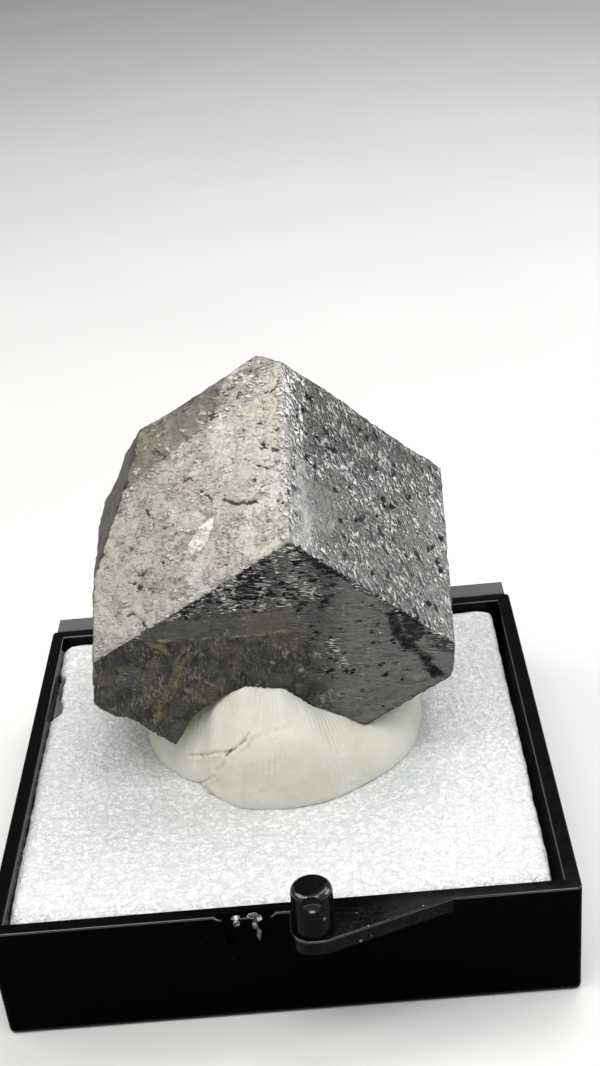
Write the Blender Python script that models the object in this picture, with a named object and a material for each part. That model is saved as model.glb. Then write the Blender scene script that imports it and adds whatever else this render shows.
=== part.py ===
"""A magnetite crystal on a mound of putty, on the foam pad of a small black display box base.

Z is up, Y points away from the front wall, X to the right. The origin is the middle of the base's
underside. The driving dimensions are in millimetres and MM turns them into metres.
"""
import bpy
import bmesh
from math import atan2, cos, hypot, pi, radians, sin, sqrt
from mathutils import Euler, Matrix, Vector, noise
from random import Random

MM = 0.001
GAP = 0.3                      # clearance that touching pieces keep

# Box base
BOX_WIDTH = 50.0               # outer size at the rim, square
BOX_HEIGHT = 11.2
BOX_DRAFT = 0.25               # the walls lean in by this much towards the underside
WALL = 1.6
FLOOR = 1.5
RIM_BEVEL = 0.18
BOTTOM_BEVEL = 0.45
BACK_LIP_REACH = 2.9           # outward ledge along the back wall
BACK_LIP_WIDTH = 49.2
BACK_LIP_THICKNESS = 1.0

# Front tab with its post
TAB_THICKNESS = 1.35
TAB_LEFT = 0.6
TAB_RAMP_END = 14.2            # where the tab's slanted edge meets the wall
TAB_REACH = 4.05
POST_CENTRE = (2.7, -27.0)
POST_RADIUS = 1.75
POST_HEIGHT = 4.2              # above the rim
POST_CHAMFER = 0.35
DIMPLE_RADIUS = 0.8
DIMPLE_DEPTH = 0.4
DIMPLE_BELOW_TOP = 2.1

# Moulding mark in the front wall: a shallow recess with two tapered grooves
MARK_LEFT = -5.4
MARK_RIGHT = -0.9
MARK_RECESS = 0.45
MARK_DROP = 0.35
GROOVE_WIDTH = 0.95
GROOVE_DEPTH = 0.7
GROOVE_DROP = 3.2
GROOVE_CENTRES = (-4.5, -1.75)

# Foam pad
FOAM_BELOW_RIM = 1.0
FOAM_CORNER = 1.3
FOAM_EDGE = 0.35
TEAR_DEPTH = 1.6
TEAR_OUTLINE = ((-24.5, 9.0), (-22.9, 9.6), (-22.5, 12.4), (-22.4, 15.2), (-22.9, 17.0), (-24.5, 18.6))

# Putty mound: foot radii and crown heights by direction, counter-clockwise from +X
MOUND_CENTRE = (0.4, 5.0)
MOUND_FOOT = ((0, 13.5), (45, 13.2), (90, 12.6), (135, 13.0), (180, 13.6), (215, 13.7), (240, 14.1),
              (265, 14.5), (290, 14.3), (315, 14.0))
MOUND_CROWN = ((0, 6.6), (45, 5.4), (90, 5.2), (135, 5.6), (180, 7.6), (215, 11.2), (250, 12.6),
               (270, 11.6), (300, 8.2), (320, 6.9))
MOUND_RINGS = 12
MOUND_SECTORS = 48
MOUND_POWER = 2.4

# Crystal: a rhombic dodecahedron whose faces grew to unequal distances from its centre
CRYSTAL_CENTRE = (0.9, 12.3, 24.5)
CRYSTAL_TURN = (162.8, -82.7, -24.8)
ROUGH_SIZE = 90.0              # half the block that the crystal is cut from
FRONT_NORMAL = (0, 1, 1)
FACE_DISTANCE = {
    (1, 1, 0): 16.5, (1, 0, 1): 16.5, FRONT_NORMAL: 16.5,
    (1, 0, -1): 16.9, (1, -1, 0): 14.65, (0, 1, -1): 17.55, (0, -1, 1): 15.45,
    (-1, 0, 1): 17.9, (-1, 1, 0): 20.8,
    (-1, -1, 0): 13.5, (-1, 0, -1): 13.5, (0, -1, -1): 10.5,
}
SIDE_CUTS = (((0.761, 0.623, -0.184), 17.41), ((0.369, 0.616, -0.696), 17.25))

# Lower edge of the crystal's front face, as (x, z), where it broke from its rock
BREAK_EDGE = (
    (-40.0, 21.5), (-16.5, 19.5), (-15.6, 18.6), (-13.6, 18.2), (-12.5, 17.4), (-10.6, 15.5),
    (-9.65, 14.3), (-9.05, 15.1), (-7.9, 17.2), (-6.8, 18.2), (-5.1, 19.2), (-2.35, 20.4),
    (-1.0, 19.35), (0.6, 18.55), (2.0, 17.6), (3.3, 17.4), (4.65, 16.75), (6.0, 15.9),
    (7.4, 14.8), (8.7, 14.3), (40.0, 13.0),
)
BREAK_FRONT = -6.0             # the break starts in front of the face
BREAK_FADE = 9.0               # and has lost the edge's outline this far behind it
BREAK_LEVEL = 15.0
BREAK_RELIEF = 0.9
BREAK_ROWS = 14

# Lower layer of the front face, under a slanted ledge
LEDGE_OUTLINE = ((-22.0, 30.5), (-12.4, 27.9), (-9.0, 27.6), (-3.2, 28.4), (1.0, 29.3), (0.9, 26.9),
                 (-2.6, 26.0), (-3.4, 22.5), (-1.2, 12.0), (-22.0, 12.0))
LEDGE_STEP = 0.28

# Etched pits: face, how many, long and short half sizes, depth, direction of the long axis
PITS = (
    ((1, 0, 1), 34, 0.62, 0.22, 0.26, (1, -0.55, -1)),
    ((1, 1, 0), 16, 0.42, 0.24, 0.22, (1, -1, 0.3)),
    (FRONT_NORMAL, 12, 0.55, 0.20, 0.24, (0.2, 1, -1)),
)
PIT_SEED = 11
PIT_SPREAD = 13.0
PIT_CLEARANCE = 1.5            # between neighbours, and from the crystal's edges


def clear_scene():
    for old in list(bpy.data.objects):
        bpy.data.objects.remove(old, do_unlink=True)


def make_material(name, colour, roughness, metallic):
    material = bpy.data.materials.new(name)
    material.use_nodes = True
    shader = material.node_tree.nodes["Principled BSDF"]
    shader.inputs["Base Color"].default_value = (*colour, 1.0)
    shader.inputs["Roughness"].default_value = roughness
    shader.inputs["Metallic"].default_value = metallic
    return material


def make_object(name, shape, material=None):
    """Turn a bmesh in millimetres into an object in metres."""
    bmesh.ops.scale(shape, vec=(MM, MM, MM), verts=shape.verts)
    bmesh.ops.recalc_face_normals(shape, faces=shape.faces)
    mesh = bpy.data.meshes.new(name)
    shape.to_mesh(mesh)
    shape.free()
    piece = bpy.data.objects.new(name, mesh)
    bpy.context.collection.objects.link(piece)
    if material:
        mesh.materials.append(material)
    return piece


def combine(piece, tool, operation):
    """Join the tool to the piece, or cut it away, and remove the tool."""
    step = piece.modifiers.new("combine", "BOOLEAN")
    step.operation = operation
    step.solver = "EXACT"
    step.object = tool
    shapes = bpy.context.evaluated_depsgraph_get()
    result = bpy.data.meshes.new_from_object(piece.evaluated_get(shapes))
    piece.modifiers.clear()
    piece.data = result
    bpy.data.objects.remove(tool, do_unlink=True)


def prism(outline, low, high):
    """An upright prism over a flat outline."""
    shape = bmesh.new()
    base = shape.faces.new([shape.verts.new((x, y, low)) for x, y in outline])
    wall = bmesh.ops.extrude_face_region(shape, geom=[base])
    top = [part for part in wall["geom"] if isinstance(part, bmesh.types.BMVert)]
    bmesh.ops.translate(shape, verts=top, vec=(0, 0, high - low))
    return shape


def block(low, high):
    """A box between two corners."""
    corners = ((low[0], low[1]), (high[0], low[1]), (high[0], high[1]), (low[0], high[1]))
    return prism(corners, low[2], high[2])


def edges_along(shape, axis, test):
    """The edges that run along an axis and whose middle passes a test."""
    chosen = []
    for edge in shape.edges:
        a, b = edge.verts[0].co, edge.verts[1].co
        run = b - a
        across = sqrt(max(run.length_squared - run[axis] ** 2, 0.0))
        if across < 0.3 * run.length and test((a + b) / 2):
            chosen.append(edge)
    return chosen


def tray_shape():
    """The open tray: a drafted block with its cavity pressed in from the top."""
    half = BOX_WIDTH / 2
    shape = block((-half, -half, 0), (half, half, BOX_HEIGHT))
    bottom = [corner for corner in shape.verts if corner.co.z < BOX_HEIGHT / 2]
    lean = (half - BOX_DRAFT) / half
    bmesh.ops.scale(shape, vec=(lean, lean, 1), verts=bottom)
    bmesh.ops.recalc_face_normals(shape, faces=shape.faces)
    top = [face for face in shape.faces if face.normal.z > 0.9]
    bmesh.ops.inset_region(shape, faces=top, thickness=WALL)
    well = bmesh.ops.extrude_face_region(shape, geom=top)
    floor = [part for part in well["geom"] if isinstance(part, bmesh.types.BMVert)]
    bmesh.ops.translate(shape, verts=floor, vec=(0, 0, FLOOR - BOX_HEIGHT))
    bmesh.ops.delete(shape, geom=top, context="FACES")
    outer = half - WALL / 2

    def outside(middle):
        return max(abs(middle.x), abs(middle.y)) > outer

    upright = edges_along(shape, 2, outside)
    bmesh.ops.bevel(shape, geom=upright, offset=0.4, segments=2, profile=0.5, affect="EDGES")
    low_rim = [edge for edge in shape.edges if all(end.co.z < 0.01 for end in edge.verts)]
    bmesh.ops.bevel(shape, geom=low_rim, offset=BOTTOM_BEVEL, segments=2, profile=0.5, affect="EDGES")
    high_rim = [edge for edge in shape.edges if all(end.co.z > BOX_HEIGHT - 0.01 for end in edge.verts)
                and len(edge.link_faces) == 2 and edge.calc_face_angle(0.0) > 0.5]
    bmesh.ops.bevel(shape, geom=high_rim, offset=RIM_BEVEL, segments=1, affect="EDGES")
    return shape


def tab_shape():
    """The triangular shelf in front of the wall, level with the rim."""
    front = -BOX_WIDTH / 2
    reach = front - TAB_REACH
    outline = [(TAB_LEFT, front + 0.8), (TAB_LEFT, front - 1.8)]
    for step in range(7):
        turn = radians(180 + 15 * step)
        outline.append((TAB_LEFT + 1.9 * (1 + cos(turn)), reach + 2.1 * (1 + sin(turn))))
    outline += [(3.6, reach + 0.06), (TAB_RAMP_END, front), (TAB_RAMP_END, front + 0.8)]
    shape = prism(outline, BOX_HEIGHT - TAB_THICKNESS, BOX_HEIGHT - 0.02)
    upper = [edge for edge in shape.edges
             if all(end.co.z > BOX_HEIGHT - 0.1 and end.co.y < front for end in edge.verts)]
    bmesh.ops.bevel(shape, geom=upper, offset=0.15, segments=1, affect="EDGES")
    return shape


def turned(profile, segments, centre):
    """A round solid from (radius, height) pairs that start and end on its axis."""
    shape = bmesh.new()
    ring = [shape.verts.new((radius, 0, height)) for radius, height in profile]
    for start, end in zip(ring, ring[1:]):
        shape.edges.new((start, end))
    bmesh.ops.spin(shape, geom=shape.verts[:] + shape.edges[:], axis=(0, 0, 1), cent=(0, 0, 0),
                   steps=segments, angle=2 * pi, use_duplicate=False)
    bmesh.ops.remove_doubles(shape, verts=shape.verts, dist=0.001)
    bmesh.ops.translate(shape, verts=shape.verts, vec=centre)
    return shape


def post_shape():
    top = BOX_HEIGHT + POST_HEIGHT
    foot = BOX_HEIGHT - TAB_THICKNESS + 0.3
    profile = ((0, foot), (POST_RADIUS, foot), (POST_RADIUS, top - POST_CHAMFER),
               (POST_RADIUS - POST_CHAMFER, top - 0.05), (POST_RADIUS - POST_CHAMFER - 0.3, top), (0, top))
    return turned(profile, 28, (*POST_CENTRE, 0))


def dimple_shape():
    """A shallow round dish whose axis points to the front."""
    profile = ((0, 0), (DIMPLE_RADIUS * 0.6, 0.05), (DIMPLE_RADIUS, DIMPLE_DEPTH), (DIMPLE_RADIUS, 1.6), (0, 1.6))
    shape = turned(profile, 20, (0, 0, 0))
    bmesh.ops.rotate(shape, verts=shape.verts, cent=(0, 0, 0), matrix=Matrix.Rotation(radians(90), 3, "X"))
    place = (POST_CENTRE[0], POST_CENTRE[1] - POST_RADIUS + DIMPLE_DEPTH,
             BOX_HEIGHT + POST_HEIGHT - DIMPLE_BELOW_TOP)
    bmesh.ops.translate(shape, verts=shape.verts, vec=place)
    return shape


def groove_shape(centre):
    """A tapered groove down the outside of the front wall."""
    front = -BOX_WIDTH / 2
    half = GROOVE_WIDTH / 2
    shape = block((centre - half, front - 1, BOX_HEIGHT - GROOVE_DROP),
                  (centre + half, front + GROOVE_DEPTH, BOX_HEIGHT + 1))
    for corner in shape.verts:
        if corner.co.z < BOX_HEIGHT - 1:
            corner.co.x = centre + (corner.co.x - centre) * 0.35
            corner.co.y -= GROOVE_DEPTH * (0.75 if corner.co.y > front else 0)
    return shape


def build_box_base(material):
    base = make_object("box_base", tray_shape(), material)
    half = BOX_WIDTH / 2
    lip = block((-BACK_LIP_WIDTH / 2, half - 0.7, BOX_HEIGHT - BACK_LIP_THICKNESS - 0.1),
                (BACK_LIP_WIDTH / 2, half + BACK_LIP_REACH, BOX_HEIGHT - 0.1))
    outer = [edge for edge in lip.edges if any(end.co.y > half + 1 for end in edge.verts)]
    bmesh.ops.bevel(lip, geom=outer, offset=0.3, segments=2, profile=0.5, affect="EDGES")
    combine(base, make_object("lip", lip), "UNION")
    combine(base, make_object("tab", tab_shape()), "UNION")
    combine(base, make_object("post", post_shape()), "UNION")
    combine(base, make_object("dimple", dimple_shape()), "DIFFERENCE")
    recess = block((MARK_LEFT, -half - 1, BOX_HEIGHT - MARK_DROP), (MARK_RIGHT, -half + MARK_RECESS, BOX_HEIGHT + 1))
    combine(base, make_object("recess", recess), "DIFFERENCE")
    for centre in GROOVE_CENTRES:
        combine(base, make_object("groove", groove_shape(centre)), "DIFFERENCE")
    return base


def build_foam(material):
    half = BOX_WIDTH / 2 - WALL - GAP
    top = BOX_HEIGHT - FOAM_BELOW_RIM
    shape = block((-half, -half, FLOOR + GAP), (half, half, top))
    corners = edges_along(shape, 2, lambda middle: True)
    bmesh.ops.bevel(shape, geom=corners, offset=FOAM_CORNER, segments=4, profile=0.5, affect="EDGES")
    rim = [edge for edge in shape.edges if all(end.co.z > top - 0.01 for end in edge.verts)]
    bmesh.ops.bevel(shape, geom=rim, offset=FOAM_EDGE, segments=2, profile=0.5, affect="EDGES")
    foam = make_object("foam_insert", shape, material)
    tear = make_object("tear", prism(TEAR_OUTLINE, top - TEAR_DEPTH, top + 1))
    combine(foam, tear, "DIFFERENCE")
    return foam


def crystal_axes():
    return Euler([radians(angle) for angle in CRYSTAL_TURN]).to_matrix()


def cut_flat(shape, point, normal):
    """Cut away what lies beyond a plane and close the solid with a flat face."""
    parts = shape.verts[:] + shape.edges[:] + shape.faces[:]
    cut = bmesh.ops.bisect_plane(shape, geom=parts, plane_co=point, plane_no=normal, clear_outer=True)
    rim = [part for part in cut["geom_cut"] if isinstance(part, bmesh.types.BMEdge)]
    if rim:
        bmesh.ops.contextual_create(shape, geom=rim)


def piecewise(points, place):
    """Straight-line reading of (place, value) pairs."""
    for (x0, y0), (x1, y1) in zip(points, points[1:]):
        if place <= x1:
            return y0 + (y1 - y0) * max(place - x0, 0) / (x1 - x0)
    return points[-1][1]


def break_height(x, y):
    """Height of the broken underside: the front edge's outline, fading into rough ground."""
    edge = piecewise(BREAK_EDGE, x)
    fade = min(max((y + 4.0) / BREAK_FADE, 0.0), 1.0)
    fade = fade * fade * (3 - 2 * fade)
    rough = noise.fractal(Vector((x * 0.16, y * 0.16, 3.0)), 0.9, 2.1, 3)
    ground = BREAK_LEVEL + BREAK_RELIEF * rough
    return edge + (ground - edge) * fade


def break_cutter(lowered):
    """A block whose rough top is the crystal's underside, lowered by a clearance."""
    across = [x for x, _ in BREAK_EDGE[1:-1]]
    across = [-26.0, -21.0] + across + [10.5, 12.5, 14.5, 16.5, 19.0, 26.0]
    rows = [BREAK_FRONT + 36.0 * step / BREAK_ROWS for step in range(BREAK_ROWS + 1)]
    shape = bmesh.new()
    grid = [[shape.verts.new((x, y, break_height(x, y) - lowered)) for x in across] for y in rows]
    for row, after in zip(grid, grid[1:]):
        for step in range(len(across) - 1):
            shape.faces.new((row[step], row[step + 1], after[step + 1], after[step]))
    skirt = bmesh.ops.extrude_face_region(shape, geom=shape.faces[:])
    lower = [part for part in skirt["geom"] if isinstance(part, bmesh.types.BMVert)]
    for corner in lower:
        corner.co.z = 2.0
    return shape


def crystal_body(name, grown, material=None):
    """The crystal's flat faces and broken underside, grown outwards by a clearance."""
    shape = block((-ROUGH_SIZE, -ROUGH_SIZE, -ROUGH_SIZE), (ROUGH_SIZE, ROUGH_SIZE, ROUGH_SIZE))
    turn = crystal_axes()
    planes = [(Vector(face).normalized(), distance) for face, distance in FACE_DISTANCE.items()]
    planes += [(Vector(face).normalized(), distance) for face, distance in SIDE_CUTS]
    centre = Vector(CRYSTAL_CENTRE)
    for direction, distance in planes:
        normal = turn @ direction
        cut_flat(shape, centre + normal * (distance + grown), normal)
    body = make_object(name, shape, material)
    combine(body, make_object("break", break_cutter(grown)), "DIFFERENCE")
    return body


def front_ledge():
    """A thin slab that takes the lower layer of the front face down by one step."""
    normal = crystal_axes() @ Vector(FRONT_NORMAL).normalized()
    centre = Vector(CRYSTAL_CENTRE)
    face_point = centre + normal * FACE_DISTANCE[FRONT_NORMAL]
    shape = bmesh.new()
    rim = []
    for x, z in LEDGE_OUTLINE:
        y = face_point.y - ((x - face_point.x) * normal.x + (z - face_point.z) * normal.z) / normal.y
        rim.append(shape.verts.new(Vector((x, y, z)) - normal * LEDGE_STEP))
    base = shape.faces.new(rim)
    sides = bmesh.ops.extrude_face_region(shape, geom=[base])
    outer = [part for part in sides["geom"] if isinstance(part, bmesh.types.BMVert)]
    bmesh.ops.translate(shape, verts=outer, vec=normal * 3)
    return make_object("ledge", shape)


def inside_crystal(point, margin):
    """True where a point keeps the margin to every face and to the broken underside."""
    turn = crystal_axes()
    centre = Vector(CRYSTAL_CENTRE)
    for direction, distance in list(FACE_DISTANCE.items()) + list(SIDE_CUTS):
        if (point - centre).dot(turn @ Vector(direction).normalized()) > distance - margin:
            return False
    return point.z > break_height(point.x, point.y) + margin


def pit_shape(shape, place, normal, along, long_half, short_half, depth):
    """Add one boat-shaped cutter: a diamond on the face over a sunken point."""
    across = normal.cross(along)
    rim = [place + along * long_half, place + across * short_half,
           place - along * long_half, place - across * short_half]
    ring = [shape.verts.new(corner + normal * 0.15) for corner in rim]
    low = shape.verts.new(place - normal * depth)
    high = shape.verts.new(place + normal * 0.6)
    for start, end in zip(ring, ring[1:] + ring[:1]):
        shape.faces.new((start, end, low))
        shape.faces.new((end, start, high))


def pit_cutters():
    """Scatter the pits over the three large faces, clear of each other and of the edges."""
    draw = Random(PIT_SEED)
    turn = crystal_axes()
    centre = Vector(CRYSTAL_CENTRE)
    shape = bmesh.new()
    for face, count, long_half, short_half, depth, run in PITS:
        normal = turn @ Vector(face).normalized()
        run = turn @ Vector(run)
        along = (run - normal * run.dot(normal)).normalized()
        across = normal.cross(along)
        step_down = LEDGE_STEP if face == FRONT_NORMAL else 0.0
        middle = centre + normal * FACE_DISTANCE[face]
        places = []
        for _ in range(4000):
            if len(places) == count:
                break
            place = (middle + along * draw.uniform(-PIT_SPREAD, PIT_SPREAD)
                     + across * draw.uniform(-PIT_SPREAD, PIT_SPREAD))
            size = draw.uniform(0.55, 1.0)
            below = place - normal * (PIT_CLEARANCE + 0.1)
            crowded = any((place - other).length < PIT_CLEARANCE for other in places)
            on_ledge = step_down and place.x < 2.5
            if crowded or on_ledge or not inside_crystal(below, PIT_CLEARANCE):
                continue
            places.append(place)
            turned_by = Matrix.Rotation(draw.uniform(-0.3, 0.3), 3, normal)
            pit_shape(shape, place, normal, turned_by @ along, long_half * size, short_half * size, depth * size)
    return make_object("pits", shape)


def build_crystal(material):
    crystal = crystal_body("magnetite_crystal", 0.0, material)
    combine(crystal, front_ledge(), "DIFFERENCE")
    combine(crystal, pit_cutters(), "DIFFERENCE")
    return crystal


def by_direction(pairs, turn):
    """Smooth reading of (degrees, value) pairs round the full circle."""
    turn = turn % 360
    ring = list(pairs) + [(pairs[0][0] + 360, pairs[0][1])]
    for (t0, v0), (t1, v1) in zip(ring, ring[1:]):
        if turn <= t1:
            share = (turn - t0) / (t1 - t0)
            share = share * share * (3 - 2 * share)
            return v0 + (v1 - v0) * share
    return pairs[0][1]


def mound_point(turn, share):
    """A point of the mound's skin: share 0 is its crown and 1 its foot."""
    foot = by_direction(MOUND_FOOT, turn)
    crown = by_direction(MOUND_CROWN, turn)
    middle = sum(height for _, height in MOUND_CROWN) / len(MOUND_CROWN)
    lean = min(share / 0.5, 1.0)
    height = (middle + (crown - middle) * lean) * sqrt(max(1 - share ** MOUND_POWER, 0.0))
    bulge = 1.0 + 0.02 * sin(pi * share)
    x = MOUND_CENTRE[0] + foot * share * bulge * cos(radians(turn))
    y = MOUND_CENTRE[1] + foot * share * bulge * sin(radians(turn))
    return x, y, height


def build_putty(material):
    """A pressed lump of putty with the crystal's underside printed into it."""
    ground = BOX_HEIGHT - FOAM_BELOW_RIM + GAP
    shape = bmesh.new()
    crown = shape.verts.new((*mound_point(0, 0)[:2], ground + mound_point(0, 0)[2]))
    rings = []
    for ring in range(1, MOUND_RINGS + 1):
        share = sin(pi / 2 * ring / MOUND_RINGS)
        row = []
        for sector in range(MOUND_SECTORS):
            x, y, height = mound_point(360 * sector / MOUND_SECTORS, share)
            row.append(shape.verts.new((x, y, ground + height)))
        rings.append(row)
    for start, end in zip(rings[0], rings[0][1:] + rings[0][:1]):
        shape.faces.new((crown, start, end))
    for inner, outer in zip(rings, rings[1:]):
        for step in range(MOUND_SECTORS):
            after = (step + 1) % MOUND_SECTORS
            shape.faces.new((inner[step], outer[step], outer[after], inner[after]))
    shape.faces.new(rings[-1])
    putty = make_object("putty_mound", shape, material)
    combine(putty, crystal_body("print", GAP), "DIFFERENCE")
    return putty


def main():
    clear_scene()
    build_box_base(make_material("black plastic", (0.012, 0.012, 0.013), 0.16, 0.0))
    build_foam(make_material("white foam", (0.86, 0.87, 0.87), 0.85, 0.0))
    build_putty(make_material("cream putty", (0.62, 0.61, 0.50), 0.55, 0.0))
    build_crystal(make_material("magnetite", (0.17, 0.16, 0.15), 0.42, 0.75))


main()
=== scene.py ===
# A magnetite crystal held by putty on the foam pad of a black display box base.
# Sizes in the dictionaries are millimetres, and mm turns them into metres.
from math import cos, pi, radians, sin, sqrt
from random import Random

import bpy
import numpy as np
from mathutils import Euler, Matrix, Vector, noise


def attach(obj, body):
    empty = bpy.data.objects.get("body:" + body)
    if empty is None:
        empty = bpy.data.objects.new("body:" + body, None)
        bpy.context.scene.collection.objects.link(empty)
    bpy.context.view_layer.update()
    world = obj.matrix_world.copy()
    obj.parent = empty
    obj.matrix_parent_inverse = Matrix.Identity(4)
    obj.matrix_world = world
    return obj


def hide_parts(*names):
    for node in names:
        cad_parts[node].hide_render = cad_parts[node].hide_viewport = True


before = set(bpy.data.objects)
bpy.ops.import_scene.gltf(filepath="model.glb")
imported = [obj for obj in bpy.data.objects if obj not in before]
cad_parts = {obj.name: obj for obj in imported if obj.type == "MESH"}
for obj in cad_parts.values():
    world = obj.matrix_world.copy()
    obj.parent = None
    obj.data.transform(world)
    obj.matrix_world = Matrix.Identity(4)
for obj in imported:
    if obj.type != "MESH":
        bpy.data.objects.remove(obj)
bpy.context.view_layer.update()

mm = 0.001
tiny = 0.01        # millimetres, for telling which faces and edges lie on a plane
print("frame loaded")


# objects and meshes

def deselectAll():
    for other in list(bpy.context.selected_objects):
        other.select_set(False)


def pickOnly(piece):
    deselectAll()
    piece.select_set(True)
    bpy.context.view_layer.objects.active = piece


def settle(piece, name):
    # the object goes to the origin, its place goes into its mesh
    piece.name = name
    piece.data.name = name
    pickOnly(piece)
    bpy.ops.object.transform_apply(location=True, rotation=True, scale=True)


def addShape(name, operator, scale=(1, 1, 1), place=(0, 0, 0), **values):
    # a primitive of the given kind, with its scale and place in metres
    deselectAll()
    operator(**values)
    piece = bpy.context.object
    piece.scale = scale
    piece.location = place
    settle(piece, name)
    return piece


def applyModifier(piece, kind, **values):
    step = piece.modifiers.new(kind.lower(), kind)
    for key, value in values.items():
        setattr(step, key, value)
    pickOnly(piece)
    bpy.ops.object.modifier_apply(modifier=step.name)


def combine(piece, tool, operation):
    applyModifier(piece, "BOOLEAN", object=tool, operation=operation, solver="EXACT")
    bpy.data.objects.remove(tool, do_unlink=True)


def readValues(items, key, width=1, kind=np.int32):
    flat = np.empty(len(items) * width, dtype=kind)
    items.foreach_get(key, flat)
    return flat


def readPoints(piece):
    return readValues(piece.data.vertices, "co", 3, np.float32).reshape(-1, 3).astype(float) / mm


def faceCentres(piece):
    return readValues(piece.data.polygons, "center", 3, np.float32).reshape(-1, 3).astype(float) / mm


def writePoints(piece, points):
    piece.data.vertices.foreach_set("co", (points * mm).astype(np.float32).ravel())
    piece.data.update()


def editMode(kind=None):
    bpy.ops.object.mode_set(mode="EDIT")
    if kind:
        bpy.ops.mesh.select_mode(type=kind)
        bpy.ops.mesh.select_all(action="DESELECT")


def objectMode():
    bpy.ops.object.mode_set(mode="OBJECT")


def drawOut(step):
    # draws the whole sheet out into a closed block
    editMode()
    bpy.ops.mesh.select_all(action="SELECT")
    bpy.ops.mesh.extrude_region_move(TRANSFORM_OT_translate={"value": Vector(step) * mm})
    turnOutwards()


def turnOutwards():
    bpy.ops.mesh.select_all(action="SELECT")
    bpy.ops.mesh.normals_make_consistent(inside=False)
    objectMode()


def selectFaces(piece, chosen):
    # leaves the piece in edit mode with just those faces selected
    pickOnly(piece)
    editMode("FACE")
    objectMode()
    piece.data.polygons.foreach_set("select", np.asarray(chosen, dtype=bool))
    editMode()


def bevelEdges(piece, test, width, segments):
    # rounds the edges whose two ends pass the test
    pickOnly(piece)
    editMode("EDGE")
    objectMode()
    corners = piece.data.vertices
    for edge in piece.data.edges:
        ends = [corners[index].co / mm for index in edge.vertices]
        edge.select = bool(test(*ends))
    editMode()
    bpy.ops.mesh.bevel(offset=width * mm, segments=segments)
    objectMode()


def saveMask(piece, name, values):
    mask = piece.data.attributes.new(name, "FLOAT", "POINT")
    mask.data.foreach_set("value", np.clip(values, 0, 1).astype(np.float32))


def saveMap(layer, flat):
    layer.data.foreach_set("uv", flat.astype(np.float32).ravel())


# fields over points, all in millimetres

def fractalAt(spots, octaves, roughness=1.0, spacing=2.0):
    # fractal noise at spots already divided by the size of its bumps
    return np.array([noise.fractal(spot, roughness, spacing, octaves) for spot in spots.tolist()])


def noiseAt(points, size, octaves=1, seed=0.0):
    # smooth noise of about -1 to 1 whose largest bumps are as wide as size
    return fractalAt(points / size + seed, octaves)


def smooth(values):
    share = np.clip(values, 0, 1)
    return share * share * (3 - 2 * share)


def highest(*fields):
    return np.maximum.reduce(fields)


def lineDistance(u, v, line):
    nearest = np.full(len(u), 1e9)
    for (u0, v0), (u1, v1) in zip(line, line[1:]):
        du, dv = u1 - u0, v1 - v0
        share = np.clip(((u - u0) * du + (v - v0) * dv) / (du * du + dv * dv + 1e-9), 0, 1)
        nearest = np.minimum(nearest, np.hypot(u - u0 - share * du, v - v0 - share * dv))
    return nearest


def insideDistance(u, v, outline):
    # distance to a closed outline, positive inside it
    closed = list(outline) + [outline[0]]
    inside = np.zeros(len(u), dtype=bool)
    for (u0, v0), (u1, v1) in zip(closed, closed[1:]):
        if v0 != v1:
            inside ^= ((v0 > v) != (v1 > v)) & (u < (u1 - u0) * (v - v0) / (v1 - v0) + u0)
    return np.where(inside, 1, -1) * lineDistance(u, v, closed)


# shader tools: a wire is a node's output, with plain arithmetic between wires and numbers

class Wire:
    def __init__(self, tree, socket):
        self.tree = tree
        self.socket = socket

    def beside(self, name):
        # another output of the same node
        return Wire(self.tree, self.socket.node.outputs[name])

    def __add__(self, other):
        return mathNode("ADD", self, other)

    def __sub__(self, other):
        return mathNode("SUBTRACT", self, other)

    def __rsub__(self, other):
        return mathNode("SUBTRACT", other, self)

    def __mul__(self, other):
        return mathNode("MULTIPLY", self, other)

    def __abs__(self):
        return mathNode("ABSOLUTE", self)


def feed(socket, value):
    if isinstance(value, Wire):
        value.tree.links.new(value.socket, socket)
    else:
        socket.default_value = value


def newNode(tree, kind, inputs, output=0, **settings):
    made = tree.nodes.new("ShaderNode" + kind)
    for key, value in settings.items():
        setattr(made, key, value)
    for key, value in inputs.items():
        feed(made.inputs[key], value)
    return Wire(tree, made.outputs[output])


def mathNode(operation, first, second=0.0):
    tree = first.tree if isinstance(first, Wire) else second.tree
    return newNode(tree, "Math", {0: first, 1: second}, operation=operation)


def vectorNode(operation, first, second):
    return newNode(first.tree, "VectorMath", {0: first, 1: second}, operation=operation)


def ramp(wire, low, high, toLow=0.0, toHigh=1.0):
    ends = {"Value": wire, "From Min": low, "From Max": high, "To Min": toLow, "To Max": toHigh}
    return newNode(wire.tree, "MapRange", ends, interpolation_type="SMOOTHSTEP")


def mixColour(factor, first, second, blend="MIX"):
    wires = [value for value in (factor, first, second) if isinstance(value, Wire)]
    ends = [value if isinstance(value, Wire) else (*value, 1.0) for value in (first, second)]
    return newNode(wires[0].tree, "Mix", {"Factor": factor, 6: ends[0], 7: ends[1]}, 2,
                   data_type="RGBA", blend_type=blend)


def noiseNode(vector, scale, detail=2.0, roughness=0.5, distortion=0.0):
    return newNode(vector.tree, "TexNoise", {"Vector": vector, "Scale": scale, "Detail": detail,
                                             "Roughness": roughness, "Distortion": distortion})


def cellNode(vector, scale):
    return newNode(vector.tree, "TexVoronoi", {"Vector": vector, "Scale": scale}, "Distance")


def splitVector(vector):
    return newNode(vector.tree, "SeparateXYZ", {0: vector})


def objectCoords(tree):
    # object coordinates in millimetres
    return vectorNode("MULTIPLY", newNode(tree, "TexCoord", {}, "Object"), (1 / mm, 1 / mm, 1 / mm))


def flatCoords(tree, name):
    return newNode(tree, "UVMap", {}, uv_map=name)


def maskNode(tree, name):
    return newNode(tree, "Attribute", {}, "Fac", attribute_name=name)


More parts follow.
